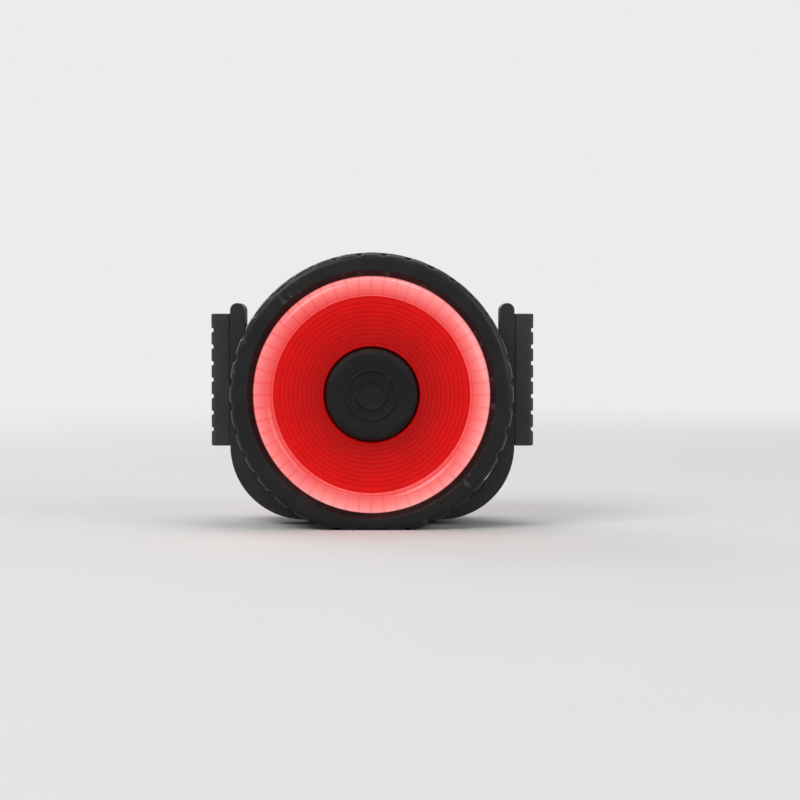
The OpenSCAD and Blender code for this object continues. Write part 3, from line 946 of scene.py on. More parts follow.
@dataclass(frozen=True)
class BoardFinish(Finish):
    """Circuit board: solder mask over a lattice of tracks."""

    mask: Colour
    track: Colour
    cell_scale: float = 700.0
    track_range: Point = (0.03, 0.06)
    track_depth: float = 0.03
    track_strength: float = 0.6
    grain: float = 6000.0
    deep: float = 0.75
    rough_range: Point = (0.28, 0.42)

    def feeds(self, g: MaterialGraph) -> Inputs:
        """Raises the tracks under the mask.

        Args:
            g: The material's graph.

        Returns:
            Sockets and values by the names of the shader's inputs.
        """
        inputs = {"Vector": g.at, "Scale": self.cell_scale}
        cells = g.add("TexVoronoi", inputs, feature="DISTANCE_TO_EDGE", distance="EUCLIDEAN")
        track = g.fade(cells.outputs["Distance"], *self.track_range, 1.0, 0.0)
        tone = g.grain(self.grain)["Tone"]
        body = g.mix(tone, rgba(self.mask, self.deep), rgba(self.mask))
        return {
            "Base Color": g.mix(track, body, rgba(self.track)),
            "Roughness": g.fade(tone, 0.0, 1.0, *self.rough_range),
            "Normal": g.bump(track, self.track_depth, self.track_strength),
        }


@dataclass(frozen=True)
class LedFinish(Finish):
    """LED package: cream moulding with a lit red window."""

    moulding: Colour
    window: Colour
    window_range: Point = (0.6, 1.1)
    grain: float = 9000.0
    deep: float = 0.85
    rough_range: Point = (0.3, 0.45)

    def feeds(self, g: MaterialGraph) -> Inputs:
        """Lights the window, which lies under the middle of the ring lens.

        Args:
            g: The material's graph.

        Returns:
            Sockets and values by the names of the shader's inputs.
        """
        tone = g.grain(self.grain)["Tone"]
        off_middle = g.math("ABSOLUTE", g.math("SUBTRACT", g.polar()["Radius"], RingLens.ring_mid))
        lit = g.fade(off_middle, *self.window_range, 1.0, 0.0)
        body = g.mix(tone, rgba(self.moulding, self.deep), rgba(self.moulding))
        return {
            "Base Color": g.mix(lit, body, rgba(self.window)),
            "Emission Color": g.mix(lit, rgba(self.window, 0.0), rgba(self.window)),
            "Emission Strength": 1.0,
            "Roughness": g.fade(tone, 0.0, 1.0, *self.rough_range),
        }


class FinishSet:
    """All finishes of the lamp but the lenses', built once."""

    grey = (0.11, 0.11, 0.115)
    black = (0.01, 0.01, 0.011)
    shell_black = (0.014, 0.014, 0.016)
    bezel_black = (0.008, 0.008, 0.009)
    arm_black = (0.024, 0.024, 0.027)
    grip_black = (0.042, 0.042, 0.045)
    worn_button = (0.06, 0.06, 0.063)
    worn_grip = (0.09, 0.09, 0.095)
    satin = 0.24
    matt = 0.16

    def __init__(self, effects: Effects) -> None:
        """Builds each finish from its values.

        Args:
            effects: Shared node groups.
        """
        self.effects = effects
        grey, satin = self.grey, self.satin
        shell = MouldedFinish("shell_black", self.shell_black, grey, rough=0.46, depth=0.05, specular=satin)
        bezel = MouldedFinish(
            "bezel_satin", self.bezel_black, grey, rough=0.3, grain=7000.0, wear=0.4, specular=satin
        )
        button = MouldedFinish(
            "button_rubber",
            self.black,
            self.worn_button,
            rough=0.54,
            depth=0.03,
            wear=0.35,
            specular=self.matt,
        )
        grip = MouldedFinish(
            "grip_rubber", self.grip_black, self.worn_grip, rough=0.6, grain=3600.0, depth=0.07, wear=0.4
        )
        cap = MouldedFinish(
            "cap_satin", self.black, grey, rough=0.36, grain=6500.0, depth=0.02, specular=satin
        )
        arm = MouldedFinish("arm_nylon", self.arm_black, grey, rough=0.44, grain=4200.0, depth=0.06)
        self.shell = shell.build(effects)
        self.bezel = bezel.build(effects)
        self.button = button.build(effects)
        self.grip = grip.build(effects)
        self.cap = self.with_edges(cap)
        self.arm = self.with_edges(arm)
        self.seal = self.clean("seal_silicone", (0.05, 0.05, 0.055), rough=0.6)
        self.chip = self.clean("chip_epoxy", (0.014, 0.014, 0.015), rough=0.55)
        self.cradle = self.clean("cradle_plastic", (0.045, 0.045, 0.05), rough=0.5)
        self.white = self.clean("reflector_white", (0.86, 0.85, 0.82), rough=0.35)
        self.ceramic = self.clean("ceramic_tan", (0.28, 0.2, 0.12), rough=0.45)
        self.board = BoardFinish("board_mask", (0.02, 0.15, 0.055), (0.04, 0.26, 0.1)).build(effects)
        self.led = LedFinish("led_package", (0.85, 0.76, 0.62), (1.0, 0.12, 0.1)).build(effects)
        self.steel = MetalFinish("spring_steel", (0.6, 0.61, 0.63), rough=0.3).build(effects)
        nickel = MetalFinish("cell_nickel", (0.7, 0.71, 0.73), rough=0.24, streak=(1.0, 1.0, 0.1))
        self.nickel = nickel.build(effects)
        self.contact = MetalFinish("contact_strip", (0.8, 0.62, 0.34), rough=0.28).build(effects)

    def clean(self, name: str, colour: Colour, rough: float) -> Material:
        """Builds a moulded finish without wear or dust, for a piece inside the lamp."""
        finish = MouldedFinish(name, colour, self.grey, rough, worn=Wear.NOWHERE, dust=0.0)
        return finish.build(self.effects)

    def with_edges(self, finish: MouldedFinish) -> list[Material]:
        """Builds a finish for plain faces, and its worn form for their softened edges.

        Args:
            finish: The finish.

        Returns:
            The two materials.
        """
        faces = replace(finish, worn=Wear.NOWHERE)
        edges = replace(finish, name=finish.name + "_edges", worn=Wear.ALL_OVER)
        return [faces.build(self.effects), edges.build(self.effects)]


# Sub-assemblies


@dataclass
class Bezel:
    """Ring that holds a lens: a rounded lip with finger notches and a skirt inside the shell."""

    face: Face
    lens_r: float = 17.5
    lip_h0: float = 10.8
    lip_h1: float = 12.4
    wall_top: float = 9.6
    skirt_in: float = 18.6
    skirt_out: float = 19.3
    skirt_h0: float = 7.9
    chamfer: float = 0.9
    crown: float = 1.2
    parting: float = 0.3
    notches: int = 36
    notch_r: float = 0.8
    notch_out: float = 0.3
    notch_h0: float = 10.2
    notch_edge: float = 0.16
    notch_rows: tuple[float, ...] = (-1.2, -0.5, 0.0, 0.5, 1.2, 4.0)
    lip_edge: float = 0.25
    lens_edge: float = 0.2
    round_steps: int = 8
    columns_per_notch: int = 18

    def profile(self) -> list[Point]:
        """Gives the section, with extra points where the notches end.

        Returns:
            Points of the closed section, as radius and height.
        """
        corners = [
            Corner(self.lens_r, self.lip_h0),
            Corner(self.skirt_in, self.lip_h0),
            Corner(self.skirt_in, self.skirt_h0),
            Corner(self.skirt_out, self.skirt_h0),
            Corner(self.skirt_out, self.wall_top),
            Corner(BODY_R, self.wall_top, self.parting),
        ]
        for row in self.notch_rows:
            corners.append(Corner(BODY_R, self.notch_h0 + row * self.notch_edge))
        corners += [
            Corner(BODY_R, self.lip_h1, self.crown),
            Corner(self.lens_r + self.chamfer, self.lip_h1, self.lip_edge),
            Corner(self.lens_r, self.lip_h1 - self.chamfer, self.lens_edge),
        ]
        return fillet_loop(corners, self.round_steps)

    def notch(self, r: float, angle: float, h: float) -> Point:
        """Draws a point in where a finger notch or the flat cuts it.

        Args:
            r: Radius in millimetres.
            angle: Angle in radians.
            h: Height in millimetres.

        Returns:
            The new radius and height.
        """
        pitch = math.tau / self.notches
        off = angle % pitch - pitch / 2
        centre = BODY_R + self.notch_out
        inside = max(self.notch_r**2 - (centre * math.sin(off)) ** 2, 0.0)
        cut = smooth_min(r, centre * math.cos(off) - math.sqrt(inside), self.notch_edge)
        half_edge = self.notch_edge / 2
        depth = smooth_step(self.notch_h0 - half_edge, self.notch_h0 + half_edge, h)
        return flatten_foot(r + (cut - r) * depth, angle), h

    def build(self, finish: Material) -> None:
        """Builds the bezel.

        Args:
            finish: Its material.
        """
        label = self.face.name.lower()
        maker = MeshMaker(self.face)
        maker.lathe(self.profile(), self.notches * self.columns_per_notch, self.notch)
        piece = maker.to_object(f"{label}_bezel_ring", finish)
        settle(piece, HOUSING, "bezel", f"{label}_bezel")


@dataclass
class Shell:
    """One half of the case: wall, floor, half of the core, and the pillars of the case screws."""

    face: Face
    core_in: float = 14.0
    core_out: float = 15.8
    waist_h: float = 3.6
    board_h0: float = 5.0
    shell_in: float = 19.4
    wall_top: float = 9.6
    waist_round: float = 0.8
    parting: float = 0.3
    core_round: float = 0.5
    core_parting: float = 0.15
    screw_r: float = 17.4
    pillar_r: float = 2.2
    pillar_columns: int = 40
    foot_room: float = 1.05
    flare_cut: float = 0.85
    flare_turn: float = 0.8
    screw_angles: tuple[float, ...] = (52.0, 128.0, 270.0)
    groove_h: float = 8.2
    groove_w: float = 0.5
    groove_depth: float = 0.22
    groove_edge: float = 0.1
    round_steps: int = 6
    columns: int = 216

    def profile(self) -> list[Point]:
        """Gives the section of the shell, with a trim groove round its wall.

        Returns:
            Points of the closed section, as radius and height.
        """
        groove_r = BODY_R - self.groove_depth
        groove_top = self.groove_h + self.groove_w
        return fillet_loop(
            [
                Corner(self.core_in, 0.0),
                Corner(self.core_out, 0.0, self.core_parting),
                Corner(self.core_out, self.waist_h, self.core_round),
                Corner(BODY_R, self.waist_h, self.waist_round),
                Corner(BODY_R, self.groove_h, self.groove_edge),
                Corner(groove_r, self.groove_h, self.groove_edge),
                Corner(groove_r, groove_top, self.groove_edge),
                Corner(BODY_R, groove_top, self.groove_edge),
                Corner(BODY_R, self.wall_top, self.parting),
                Corner(self.shell_in, self.wall_top),
                Corner(self.shell_in, self.board_h0),
                Corner(self.core_in, self.board_h0),
            ],
            self.round_steps,
        )

    def keep_flare_in(self, outward: float) -> Warp:
        """Gives a warp that lessens a pillar's flare where it faces out of the case.

        Args:
            outward: Angle of the pillar round the lens axis, in radians.

        Returns:
            The warp, for points about the pillar's own axis.
        """

        def warp(r: float, angle: float, h: float) -> Point:
            """Draws in what lies beyond the pillar's plain radius.

            Args:
                r: Radius in millimetres.
                angle: Angle in radians.
                h: Height in millimetres.

            Returns:
                The new radius, and the height.
            """
            flare = max(r - self.pillar_r, 0.0)
            facing_out = smooth_step(0.0, self.flare_turn, math.cos(angle - outward))
            return r - self.flare_cut * flare * facing_out, h

        return warp

    def build(self, finish: Material) -> None:
        """Builds the shell and its pillars.

        Args:
            finish: Their material.
        """
        label = self.face.name.lower()
        maker = MeshMaker(self.face)
        maker.lathe(self.profile(), self.columns, lambda r, angle, h: (flatten_foot(r, angle), h))
        foot = self.pillar_r + self.foot_room * self.core_round
        top = self.waist_h + self.core_round
        loop = fillet_loop(
            [
                Corner(0.0, 0.0),
                Corner(self.pillar_r, 0.0, self.core_parting),
                Corner(self.pillar_r, self.waist_h, self.core_round),
                Corner(foot, self.waist_h),
                Corner(foot, top),
                Corner(0.0, top),
            ]
        )
        for angle in map(math.radians, self.screw_angles):
            centre = (self.screw_r * math.cos(angle), self.screw_r * math.sin(angle))
            maker.lathe(loop, self.pillar_columns, self.keep_flare_in(angle), centre)
        piece = maker.to_object(f"{label}_shell_case", finish)
        settle(piece, HOUSING, "shell", f"{label}_shell")


@dataclass
class RingLens:
    """Lens of one face: a crowned ring over the LEDs, a flange, and a plate of ring prisms inside it."""

    face: Face
    hole_r: float
    prisms: int
    ring_in: float = 14.6
    ring_out: float = 17.4
    ring_mid: float = 16.0
    flange_r: float = 18.5
    lens_h0: float = 9.2
    flange_h1: float = 10.4
    plate_h0: float = 9.9
    plate_h1: float = 11.2
    lens_h1: float = 13.5
    crown_r: float = 1.54
    crown_steps: int = 18
    prism_depth: float = 0.16
    prism_margin: float = 0.45
    prism_rise: float = 0.12
    plate_edge: float = 0.2
    seam: float = 0.01
    flutes: int = 56
    flute_h: float = 0.5
    columns_per_flute: int = 6

    def prism_pitch(self) -> float:
        """Gives the distance from one ring prism to the next."""
        return (self.ring_in - self.hole_r - 2 * self.prism_margin) / self.prisms

    def profile(self) -> list[Point]:
        """Gives the section of the lens.

        Returns:
            Points of the closed section, as radius and height.
        """
        first = self.hole_r + self.prism_margin
        plate = [Corner(self.hole_r, self.plate_h0), Corner(self.hole_r, self.plate_h1, self.plate_edge)]
        for i in range(self.prisms):
            root = first + i * self.prism_pitch()
            plate.append(Corner(root, self.plate_h1))
            rise = self.prism_rise * self.prism_pitch()
            plate.append(Corner(root + rise, self.plate_h1 - self.prism_depth))
        plate.append(Corner(self.ring_in - self.prism_margin, self.plate_h1))
        plate.append(Corner(self.ring_in, self.plate_h1, self.plate_edge))
        side = math.asin((self.ring_in - self.ring_mid) / self.crown_r)
        crown = []
        for i in range(self.crown_steps + 1):
            angle = side * (1 - 2 * i / self.crown_steps)
            drop = self.crown_r * (1 - math.cos(angle))
            crown.append(Corner(self.ring_mid + self.crown_r * math.sin(angle), self.lens_h1 - drop))
        base = [
            Corner(self.ring_out, self.flange_h1),
            Corner(self.flange_r, self.flange_h1),
            Corner(self.flange_r, self.lens_h0),
            Corner(self.ring_out, self.lens_h0),
            Corner(self.ring_in, self.lens_h0),
            Corner(self.ring_in, self.plate_h0),
        ]
        return fillet_loop(plate + crown + base)

    def flute(self, r: float, angle: float, h: float) -> Point:
        """Lifts the underside of the ring into its flutes.

        Args:
            r: Radius in millimetres.
            angle: Angle in radians.
            h: Height in millimetres.

        Returns:
            The radius, and the new height.
        """
        if h > self.lens_h0 or r > self.ring_out:
            return r, h
        step = angle * self.flutes / math.tau % 1.0
        return r, h + self.flute_h * (1 - abs(2 * step - 1))

    def build(self, plate: Material, ring: Material) -> None:
        """Builds the lens.

        Args:
            plate: Material of its plate.
            ring: Material of its lit ring.
        """
        label = self.face.name.lower()
        maker = MeshMaker(self.face)
        maker.lathe(self.profile(), self.flutes * self.columns_per_flute, self.flute)
        maker.paint(1, lambda r, h: r > self.ring_in - self.seam)
        piece = maker.to_object(f"{label}_ring_lens", plate, ring)
        settle(piece, HOUSING, "lens", f"{label}_lens")


@dataclass
class PushButton:
    """Rubber push button: a dished top with raised rings, and a fluted side."""

    radius: float = 6.8
    top: float = 12.9
    dish: float = 0.5
    dish_r: float = 5.2
    edge: float = 0.8
    rim_r: float = 8.2
    rim_h0: float = 8.2
    rim_h1: float = 9.1
    cup_r: float = 5.3
    ceiling: float = 10.9
    boss_r: float = 1.6
    boss_h: float = 10.2
    ring_places: tuple[float, ...] = (2.1, 3.6)
    ring_h: float = 0.2
    ring_w: float = 0.34
    ring_flat: float = 0.4
    flutes: int = 40
    flute_depth: float = 0.14
    flute_power: int = 3
    side_row: float = 11.3
    top_steps: int = 60
    round_steps: int = 8
    columns_per_flute: int = 8

    def dished(self, r: float) -> float:
        """Gives the height of the dished top, with its raised rings.

        Args:
            r: Radius in millimetres.

        Returns:
            The height in millimetres.
        """
        h = self.top - self.dish * (1 - (r / self.dish_r) ** 2)
        for place in self.ring_places:
            h += self.ring_h * smooth_step(self.ring_w, self.ring_flat * self.ring_w, abs(r - place))
        return h

    def profile(self) -> list[Point]:
        """Gives the section from the middle of the top round to the middle of the boss.

        Returns:
            Points of the section, as radius and height.
        """
        radii = [self.dish_r * i / self.top_steps for i in range(self.top_steps)]
        top = [(r, self.dished(r)) for r in radii]
        side = fillet_loop(
            [
                Corner(self.dish_r, self.top),
                Corner(self.radius, self.top, self.edge),
                Corner(self.radius, self.side_row),
                Corner(self.radius, self.rim_h1),
                Corner(self.rim_r, self.rim_h1),
                Corner(self.rim_r, self.rim_h0),
                Corner(self.cup_r, self.rim_h0),
                Corner(self.cup_r, self.ceiling),
                Corner(self.boss_r, self.ceiling),
                Corner(self.boss_r, self.boss_h),
            ],
            self.round_steps,
        )
        return [*top, *side, (0.0, self.boss_h)]

    def flute(self, r: float, angle: float, h: float) -> Point:
        """Cuts shallow flutes into the button's side.

        Args:
            r: Radius in millimetres.
            angle: Angle in radians.
            h: Height in millimetres.

        Returns:
            The new radius, and the height.
        """
        near_side = smooth_step(self.radius - self.edge, self.radius, r) * (r <= self.radius)
        wave = 0.5 - 0.5 * math.cos(self.flutes * angle)
        return r - self.flute_depth * near_side * wave**self.flute_power, h

    def build(self, finish: Material) -> None:
        """Builds the button.

        Args:
            finish: Its material.
        """
        maker = MeshMaker(Face.FRONT)
        maker.lathe(self.profile(), self.flutes * self.columns_per_flute, self.flute)
        piece = maker.to_object("button_cap", finish)
        settle(piece, "push_button", "button", "button")


@dataclass
class BatteryCap:
    """Quarter-turn battery cap: its CAD shape, and finger ribs round its outer face."""

    top: float = 12.6
    rib_r: float = 0.42
    rib_sunk: float = 0.2
    rib_in: float = 10.0
    rib_out: float = 11.9
    ribs: int = 32
    mark_turn: float = 0.25
    mark_room: float = 0.04
    rib_sides: int = 20
    rib_dome_steps: int = 6
    edge: float = 0.16

    def build(self, finishes: Sequence[Material]) -> None:
        """Dresses the cap and lays its ribs, but for a gap at the position mark.

        Args:
            finishes: Materials for the faces and for the softened edges.
        """
        dress(finishes, "battery_cap", edge=self.edge)
        maker = MeshMaker(Face.REAR)
        h = self.top - self.rib_sunk
        for i in range(self.ribs):
            turn = (i + 0.5) / self.ribs
            if abs(turn - self.mark_turn) < self.mark_room:
                continue
            along = Vector((math.cos(math.tau * turn), 0.0, math.sin(math.tau * turn)))
            ends = [along * self.rib_in, along * self.rib_out]
            path = [Vector((p.x, h, p.z)) for p in ends]
            maker.tube(path, self.rib_r, self.rib_sides, self.rib_dome_steps)
        ribs = maker.to_object("battery_cap_ribs", finishes[0])
        settle(ribs, "battery_lid", "cap")


@dataclass
class SpokeGrip:
    """Rubber grip on an arm: a groove that snaps over a spoke, between lips with cross slots."""

    side: Side
    back_x: float = 21.5
    face_x: float = 24.4
    half_w: float = 3.0
    groove_x: float = 23.0
    groove_r: float = 1.05
    throat: float = 0.88
    mouth: float = 1.7
    low: float = -8.0
    length: float = 20.0
    face_round: float = 0.8
    back_round: float = 0.28
    lip_round: float = 0.28
    end_round: float = 0.2
    slots: int = 7
    slot_pitch: float = 2.5
    slot_w: float = 0.6
    slot_depth: float = 0.35
    slot_edge: float = 0.2
    tenon_w: float = 2.0
    tenon_d: float = 0.85
    tenon_end: float = 1.2
    groove_steps: int = 32
    round_steps: int = 6

    def section(self) -> list[Point]:
        """Gives the outline of the grip.

        Returns:
            Points as distance out from the lens axis and distance across the arm.
        """
        neck_x = self.groove_x + self.groove_r
        bend = math.asin(self.throat / self.groove_r)
        groove = []
        for i in range(self.groove_steps + 1):
            angle = -bend - (math.tau - 2 * bend) * i / self.groove_steps
            x = self.groove_x + self.groove_r * math.cos(angle)
            groove.append(Corner(x, self.groove_r * math.sin(angle)))
        return fillet_loop(
            [
                Corner(self.back_x, -self.half_w, self.back_round),
                Corner(self.face_x, -self.half_w, self.face_round),
                Corner(self.face_x, -self.mouth, self.lip_round),
                Corner(neck_x, -self.throat, self.lip_round),
                *groove,
                Corner(neck_x, self.throat, self.lip_round),
                Corner(self.face_x, self.mouth, self.lip_round),
                Corner(self.face_x, self.half_w, self.face_round),
                Corner(self.back_x, self.half_w, self.back_round),
            ],
            self.round_steps,
        )

    def heights(self) -> list[float]:
        """Gives the heights of the slices, close together at the ends and at the slots' edges.

        Returns:
            Heights above the lower end, in order.
        """
        rise = []
        for k in range(self.round_steps + 1):
            rise.append(self.end_round * (1 - math.cos(0.5 * math.pi * k / self.round_steps)))
        heights = rise + [self.length - h for h in rise]
        for i in range(self.slots):
            middle = (i + 1) * self.slot_pitch
            for k in range(self.round_steps + 1):
                reach = self.slot_w / 2 + self.slot_edge * (k / self.round_steps - 0.5)
                heights += [middle - reach, middle + reach]
        return sorted(heights)

    def slice_at(self, height: float) -> list[Vector]:
        """Gives the outline at a height, drawn in at the ends and cut back in a slot.

        Args:
            height: Height above the lower end.

        Returns:
            Points as x, h and z on this grip's side of the lamp.
        """
        from_end = min(height, self.length - height, self.end_round) / self.end_round
        inset = self.end_round * (1 - math.sqrt(1 - (1 - from_end) ** 2))
        to_slot = abs((height + self.slot_pitch / 2) % self.slot_pitch - self.slot_pitch / 2)
        half_edge = self.slot_edge / 2
        slot = smooth_step(self.slot_w / 2 + half_edge, self.slot_w / 2 - half_edge, to_slot)
        between_ends = self.slot_pitch / 2 < height < self.length - self.slot_pitch / 2
        limit = self.face_x - self.slot_depth * slot * between_ends
        outline = [Vector(point) for point in self.section()]
        points = []
        for i, point in enumerate(outline):
            along = (outline[(i + 1) % len(outline)] - outline[i - 1]).normalized()
            x = min(point.x - along.y * inset, limit)
            points.append(Vector((self.side.value * x, point.y + along.x * inset, self.low + height)))
        return points

    def tenon(self) -> list[list[Vector]]:
        """Gives the tenon that holds the grip in the arm's pocket.

        Returns:
            The corners of its two ends, as x, h and z.
        """
        x0 = self.back_x - self.tenon_d
        x1 = self.back_x + self.end_round
        half = self.tenon_w / 2
        rings = []
        for z in (self.tenon_end, self.length - self.tenon_end):
            corners = ((x0, -half), (x1, -half), (x1, half), (x0, half))
            rings.append([Vector((self.side.value * x, y, self.low + z)) for x, y in corners])
        return rings

    def build(self, finish: Material) -> None:
        """Builds the grip and its tenon.

        Args:
            finish: Their material.
        """
        label = self.side.name.lower()
        maker = MeshMaker(Face.FRONT)
        maker.loft([self.slice_at(height) for height in self.heights()])
        maker.loft(self.tenon())
        piece = maker.to_object(f"{label}_spoke_grip", finish)
        settle(piece, f"{label}_spoke_arm", "grip", f"{label}_grip")


@dataclass
class SpokeArm:
    """One spoke arm: it keeps its CAD shape, with a moulded grip on it and its spring wound anew."""

    side: Side
    pivot_x: float = 8.4853
    pivot_z: float = -17.0
    core_out: float = 15.8
    core_leg: float = 4.1
    spring_leg: float = 6.6
    coil_r: float = 2.0
    coil_turns: float = 2.75
    coil_len: float = 3.0
    wire: float = 0.6
    leg_gap: float = 0.1
    twist_share: float = 0.45
    edge: float = 0.3
    steps_per_turn: int = 32
    wire_sides: int = 14

    def spring_path(self) -> list[Vector]:
        """Gives the wire's centreline: a leg on the core, the coil, and a leg along the arm.

        Returns:
            Points as x, h and z.
        """
        core_z = self.pivot_z + self.core_leg
        core_x = math.sqrt(self.core_out**2 - core_z**2) + self.wire / 2 + self.leg_gap
        half = self.coil_len / 2
        steps = round(self.coil_turns * self.steps_per_turn)
        path = [Vector((core_x, -half, core_z))]
        for i in range(steps + 1):
            angle = -math.tau * self.coil_turns * i / steps
            x = self.pivot_x + self.coil_r * math.cos(angle)
            z = self.pivot_z + self.coil_r * math.sin(angle)
            path.append(Vector((x, half * (2 * i / steps - 1), z)))
        path.append(Vector((self.pivot_x + self.spring_leg, half, self.pivot_z + self.coil_r)))
        return [Vector((self.side.value * p.x, p.y, p.z)) for p in path]

    def build(self, arm: Sequence[Material], grip: Material, steel: Material) -> None:
        """Dresses the arm, puts its grip on and winds the spring.

        Args:
            arm: Finishes of the arm's faces and edges.
            grip: Finish of the grip.
            steel: Finish of the spring.
        """
        label = self.side.name.lower()
        dress(arm, f"{label}_arm", edge=self.edge)
        SpokeGrip(self.side).build(grip)
        maker = MeshMaker(Face.FRONT)
        maker.tube(self.spring_path(), self.wire / 2, self.wire_sides)
        spring = maker.to_object(f"{label}_torsion_spring", steel)
        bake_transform(spring)
        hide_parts(f"{label}_spring")
        LOG.info("%s twists between the housing and the arm", spring.name)


@dataclass
class Inside:
    """Pieces inside the lamp, which keep their CAD shapes."""

    edge: float = 0.08

    def build(self, finishes: FinishSet) -> None:
        """Dresses the seals, reflectors, electronics and battery.

        Args:
            finishes: All finishes of the lamp.
        """
        dress([finishes.seal], "front_lens_gasket", "rear_lens_gasket", "button_seal")
        dress([finishes.seal], "core_seal", "cradle_seal", "cap_seal")
        dress([finishes.white], "front_reflector", "rear_reflector")
        dress([finishes.board], "main_board", "rear_board")
        dress([finishes.led], "front_leds", "rear_leds")
        dress([finishes.chip], "driver_chip")
        dress([finishes.chip], "switch_body", "switch_plunger", edge=self.edge)
        dress([finishes.ceramic], "board_passives", edge=self.edge)
        dress([finishes.contact], "link_pins", "negative_contact", "positive_contact")
        dress([finishes.cradle], "battery_cradle")
        dress([finishes.nickel], "front_cell", "rear_cell")
        dress([finishes.steel], "case_screws", edge=self.edge)


@dataclass(frozen=True)
class SoftBox:
    """A soft studio lamp that points at the object."""

    name: str
    at: tuple[float, float, float]
    width: float
    height: float
    power: float

    def build(self, aim: Vector) -> None:
        """Places the lamp.

        Args:
            aim: Place that it points at.
        """
        light = bpy.data.lights.new(self.name, "AREA")
        light.shape = "RECTANGLE"
        light.size = self.width
        light.size_y = self.height
        light.energy = self.power
        lamp = add_object(self.name, light)
        lamp.location = self.at
        lamp.rotation_euler = (aim - Vector(self.at)).to_track_quat("-Z", "Y").to_euler()


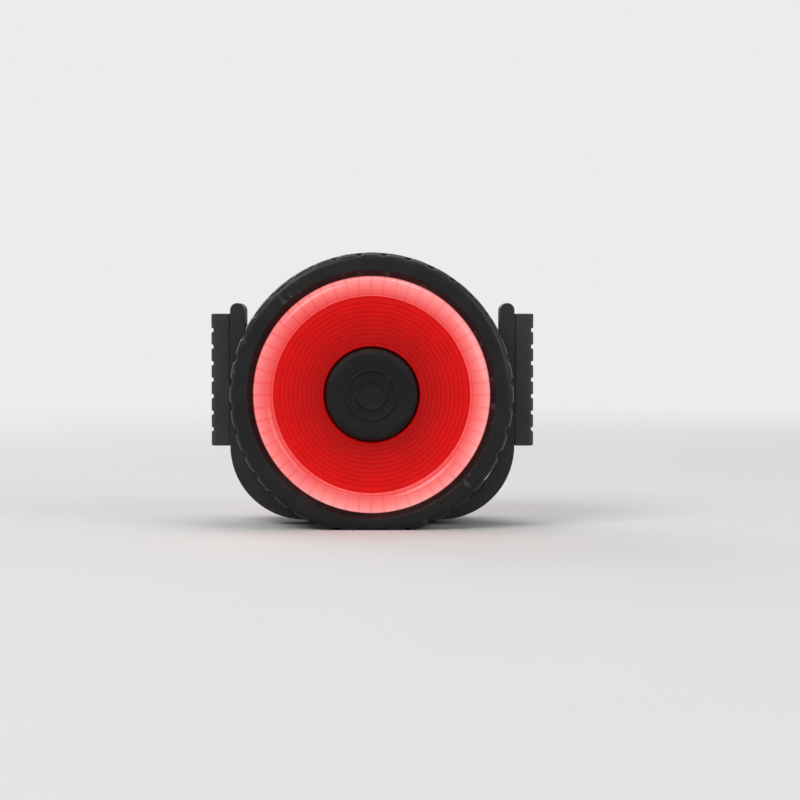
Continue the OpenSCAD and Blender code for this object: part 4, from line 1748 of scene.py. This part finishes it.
@dataclass
class Studio:
    """Pale floor, soft light and the camera."""

    floor_r: float = 2.2
    floor_sides: int = 128
    mottle_scale: float = 40.0
    mottle_dim: float = 0.97
    fade_start: float = 0.1
    fade_end: float = 0.5
    pale: Colour = (0.84, 0.84, 0.83)
    ambient: float = 0.26
    image: float = 800.0
    ring_px: Point = (371.5, 395.0)
    ring_radius_px: float = 118.3
    ring_radius: float = 17.4
    ring_h: float = 12.6
    elevation: float = 2.0
    focal: float = 100.0
    sensor: float = 36.0
    near: float = 0.005
    far: float = 20.0

    def floor(self) -> None:
        """Lays a round floor that fades out into the background."""
        mesh = bmesh.new()
        bmesh.ops.create_circle(mesh, cap_ends=True, segments=self.floor_sides, radius=self.floor_r)
        data = bpy.data.meshes.new("floor")
        mesh.to_mesh(data)
        mesh.free()
        ground = add_object("floor", data)
        material = bpy.data.materials.new("floor_pale")
        g = start_graph(material)
        at = g.add("TexCoord").outputs["Object"]
        away = g.add("VectorMath", {0: at}, operation="LENGTH").outputs["Value"]
        mottle = g.noise(at, self.mottle_scale)
        colour = g.mix(mottle, rgba(self.pale, self.mottle_dim), rgba(self.pale))
        paper = g.add("BsdfDiffuse", {"Color": colour})
        clear = g.add("BsdfTransparent")
        far = g.fade(away, self.fade_start, self.fade_end)
        both = g.add("MixShader", {0: far, 1: paper.outputs[0], 2: clear.outputs[0]})
        g.add("OutputMaterial", {"Surface": both.outputs[0]})
        data.materials.append(material)

    def world(self) -> None:
        """Sets a pale background and a plain level of light from all round."""
        world = bpy.data.worlds.new("studio")
        bpy.context.scene.world = world
        g = start_graph(world)
        light = g.add("Background", {"Color": rgba((1.0, 1.0, 1.0)), "Strength": self.ambient})
        shown = g.add("Background", {"Color": rgba(self.pale), "Strength": 1.0})
        path = g.add("LightPath").outputs
        seen = g.math("MAXIMUM", path["Is Camera Ray"], path["Is Transmission Ray"])
        seen = g.math("MAXIMUM", seen, path["Is Glossy Ray"])
        both = g.add("MixShader", {0: seen, 1: light.outputs[0], 2: shown.outputs[0]})
        g.add("OutputWorld", {"Surface": both.outputs[0]})

    def lamps(self) -> None:
        """Hangs the soft lamps."""
        aim = Vector((0.0, 0.0, LENS_Z * MM))
        for box in (
            SoftBox("key", (-0.34, -0.42, 0.5), width=0.34, height=0.34, power=1.9),
            SoftBox("fill", (0.5, -0.36, 0.26), width=0.4, height=0.4, power=1.0),
            SoftBox("top", (0.05, 0.1, 0.62), width=0.5, height=0.3, power=1.1),
            SoftBox("back", (-0.3, 0.5, 0.34), width=0.4, height=0.3, power=1.0),
        ):
            box.build(aim)

    def camera(self) -> None:
        """Places the camera so that the lit ring lies where the photograph's ring lies."""
        pixels_per_mm = self.ring_radius_px / self.ring_radius
        distance = self.focal / self.sensor * self.image / pixels_per_mm
        tilt = math.radians(self.elevation)
        back = Vector((0.0, -math.cos(tilt), math.sin(tilt)))
        up = Vector((0.0, math.sin(tilt), math.cos(tilt)))
        ring = Vector((0.0, -self.ring_h, LENS_Z))
        across = (self.image / 2 - self.ring_px[0]) / pixels_per_mm
        drop = (self.image / 2 - self.ring_px[1]) / pixels_per_mm
        aim = ring + Vector((across, 0.0, 0.0)) - up * drop
        data = bpy.data.cameras.new("camera")
        data.lens = self.focal
        data.sensor_width = self.sensor
        data.clip_start = self.near
        data.clip_end = self.far
        camera = add_object("camera", data)
        camera.location = (aim + back * distance) * MM
        camera.rotation_euler = (-back).to_track_quat("-Z", "Y").to_euler()
        bpy.context.scene.camera = camera

    def build(self) -> None:
        """Sets up the whole studio."""
        self.floor()
        self.world()
        self.lamps()
        self.camera()
        bpy.context.scene.view_settings.view_transform = "Standard"


def main() -> None:
    """Builds the lamp's pieces in order, then the studio."""
    logging.basicConfig(level=logging.INFO, format="%(message)s")
    effects = Effects()
    finishes = FinishSet(effects)
    lenses = {
        Face.FRONT: RingLens(Face.FRONT, hole_r=7.1, prisms=10),
        Face.REAR: RingLens(Face.REAR, hole_r=13.2, prisms=1),
    }
    front = lenses[Face.FRONT]
    ring = LitRingFinish("lit_ring", front.ring_in, front.ring_out, front.flutes, leds=8, led_start=22.5)
    ring_material = ring.build(effects)
    for face, lens in lenses.items():
        label = face.name.lower()
        first_prism = lens.hole_r + lens.prism_margin
        plate = PrismFinish(f"{label}_prism_plate", first_prism, lens.ring_in, lens.prism_pitch())
        Shell(face).build(finishes.shell)
        Bezel(face).build(finishes.bezel)
        lens.build(plate.build(effects), ring_material)
    PushButton().build(finishes.button)
    BatteryCap().build(finishes.cap)
    dress([finishes.steel], "arm_pins", edge=PIN_EDGE)
    for side in Side:
        SpokeArm(side).build(finishes.arm, finishes.grip, finishes.steel)
    Inside().build(finishes)
    Studio().build()


if __name__ == "__main__":
    main()
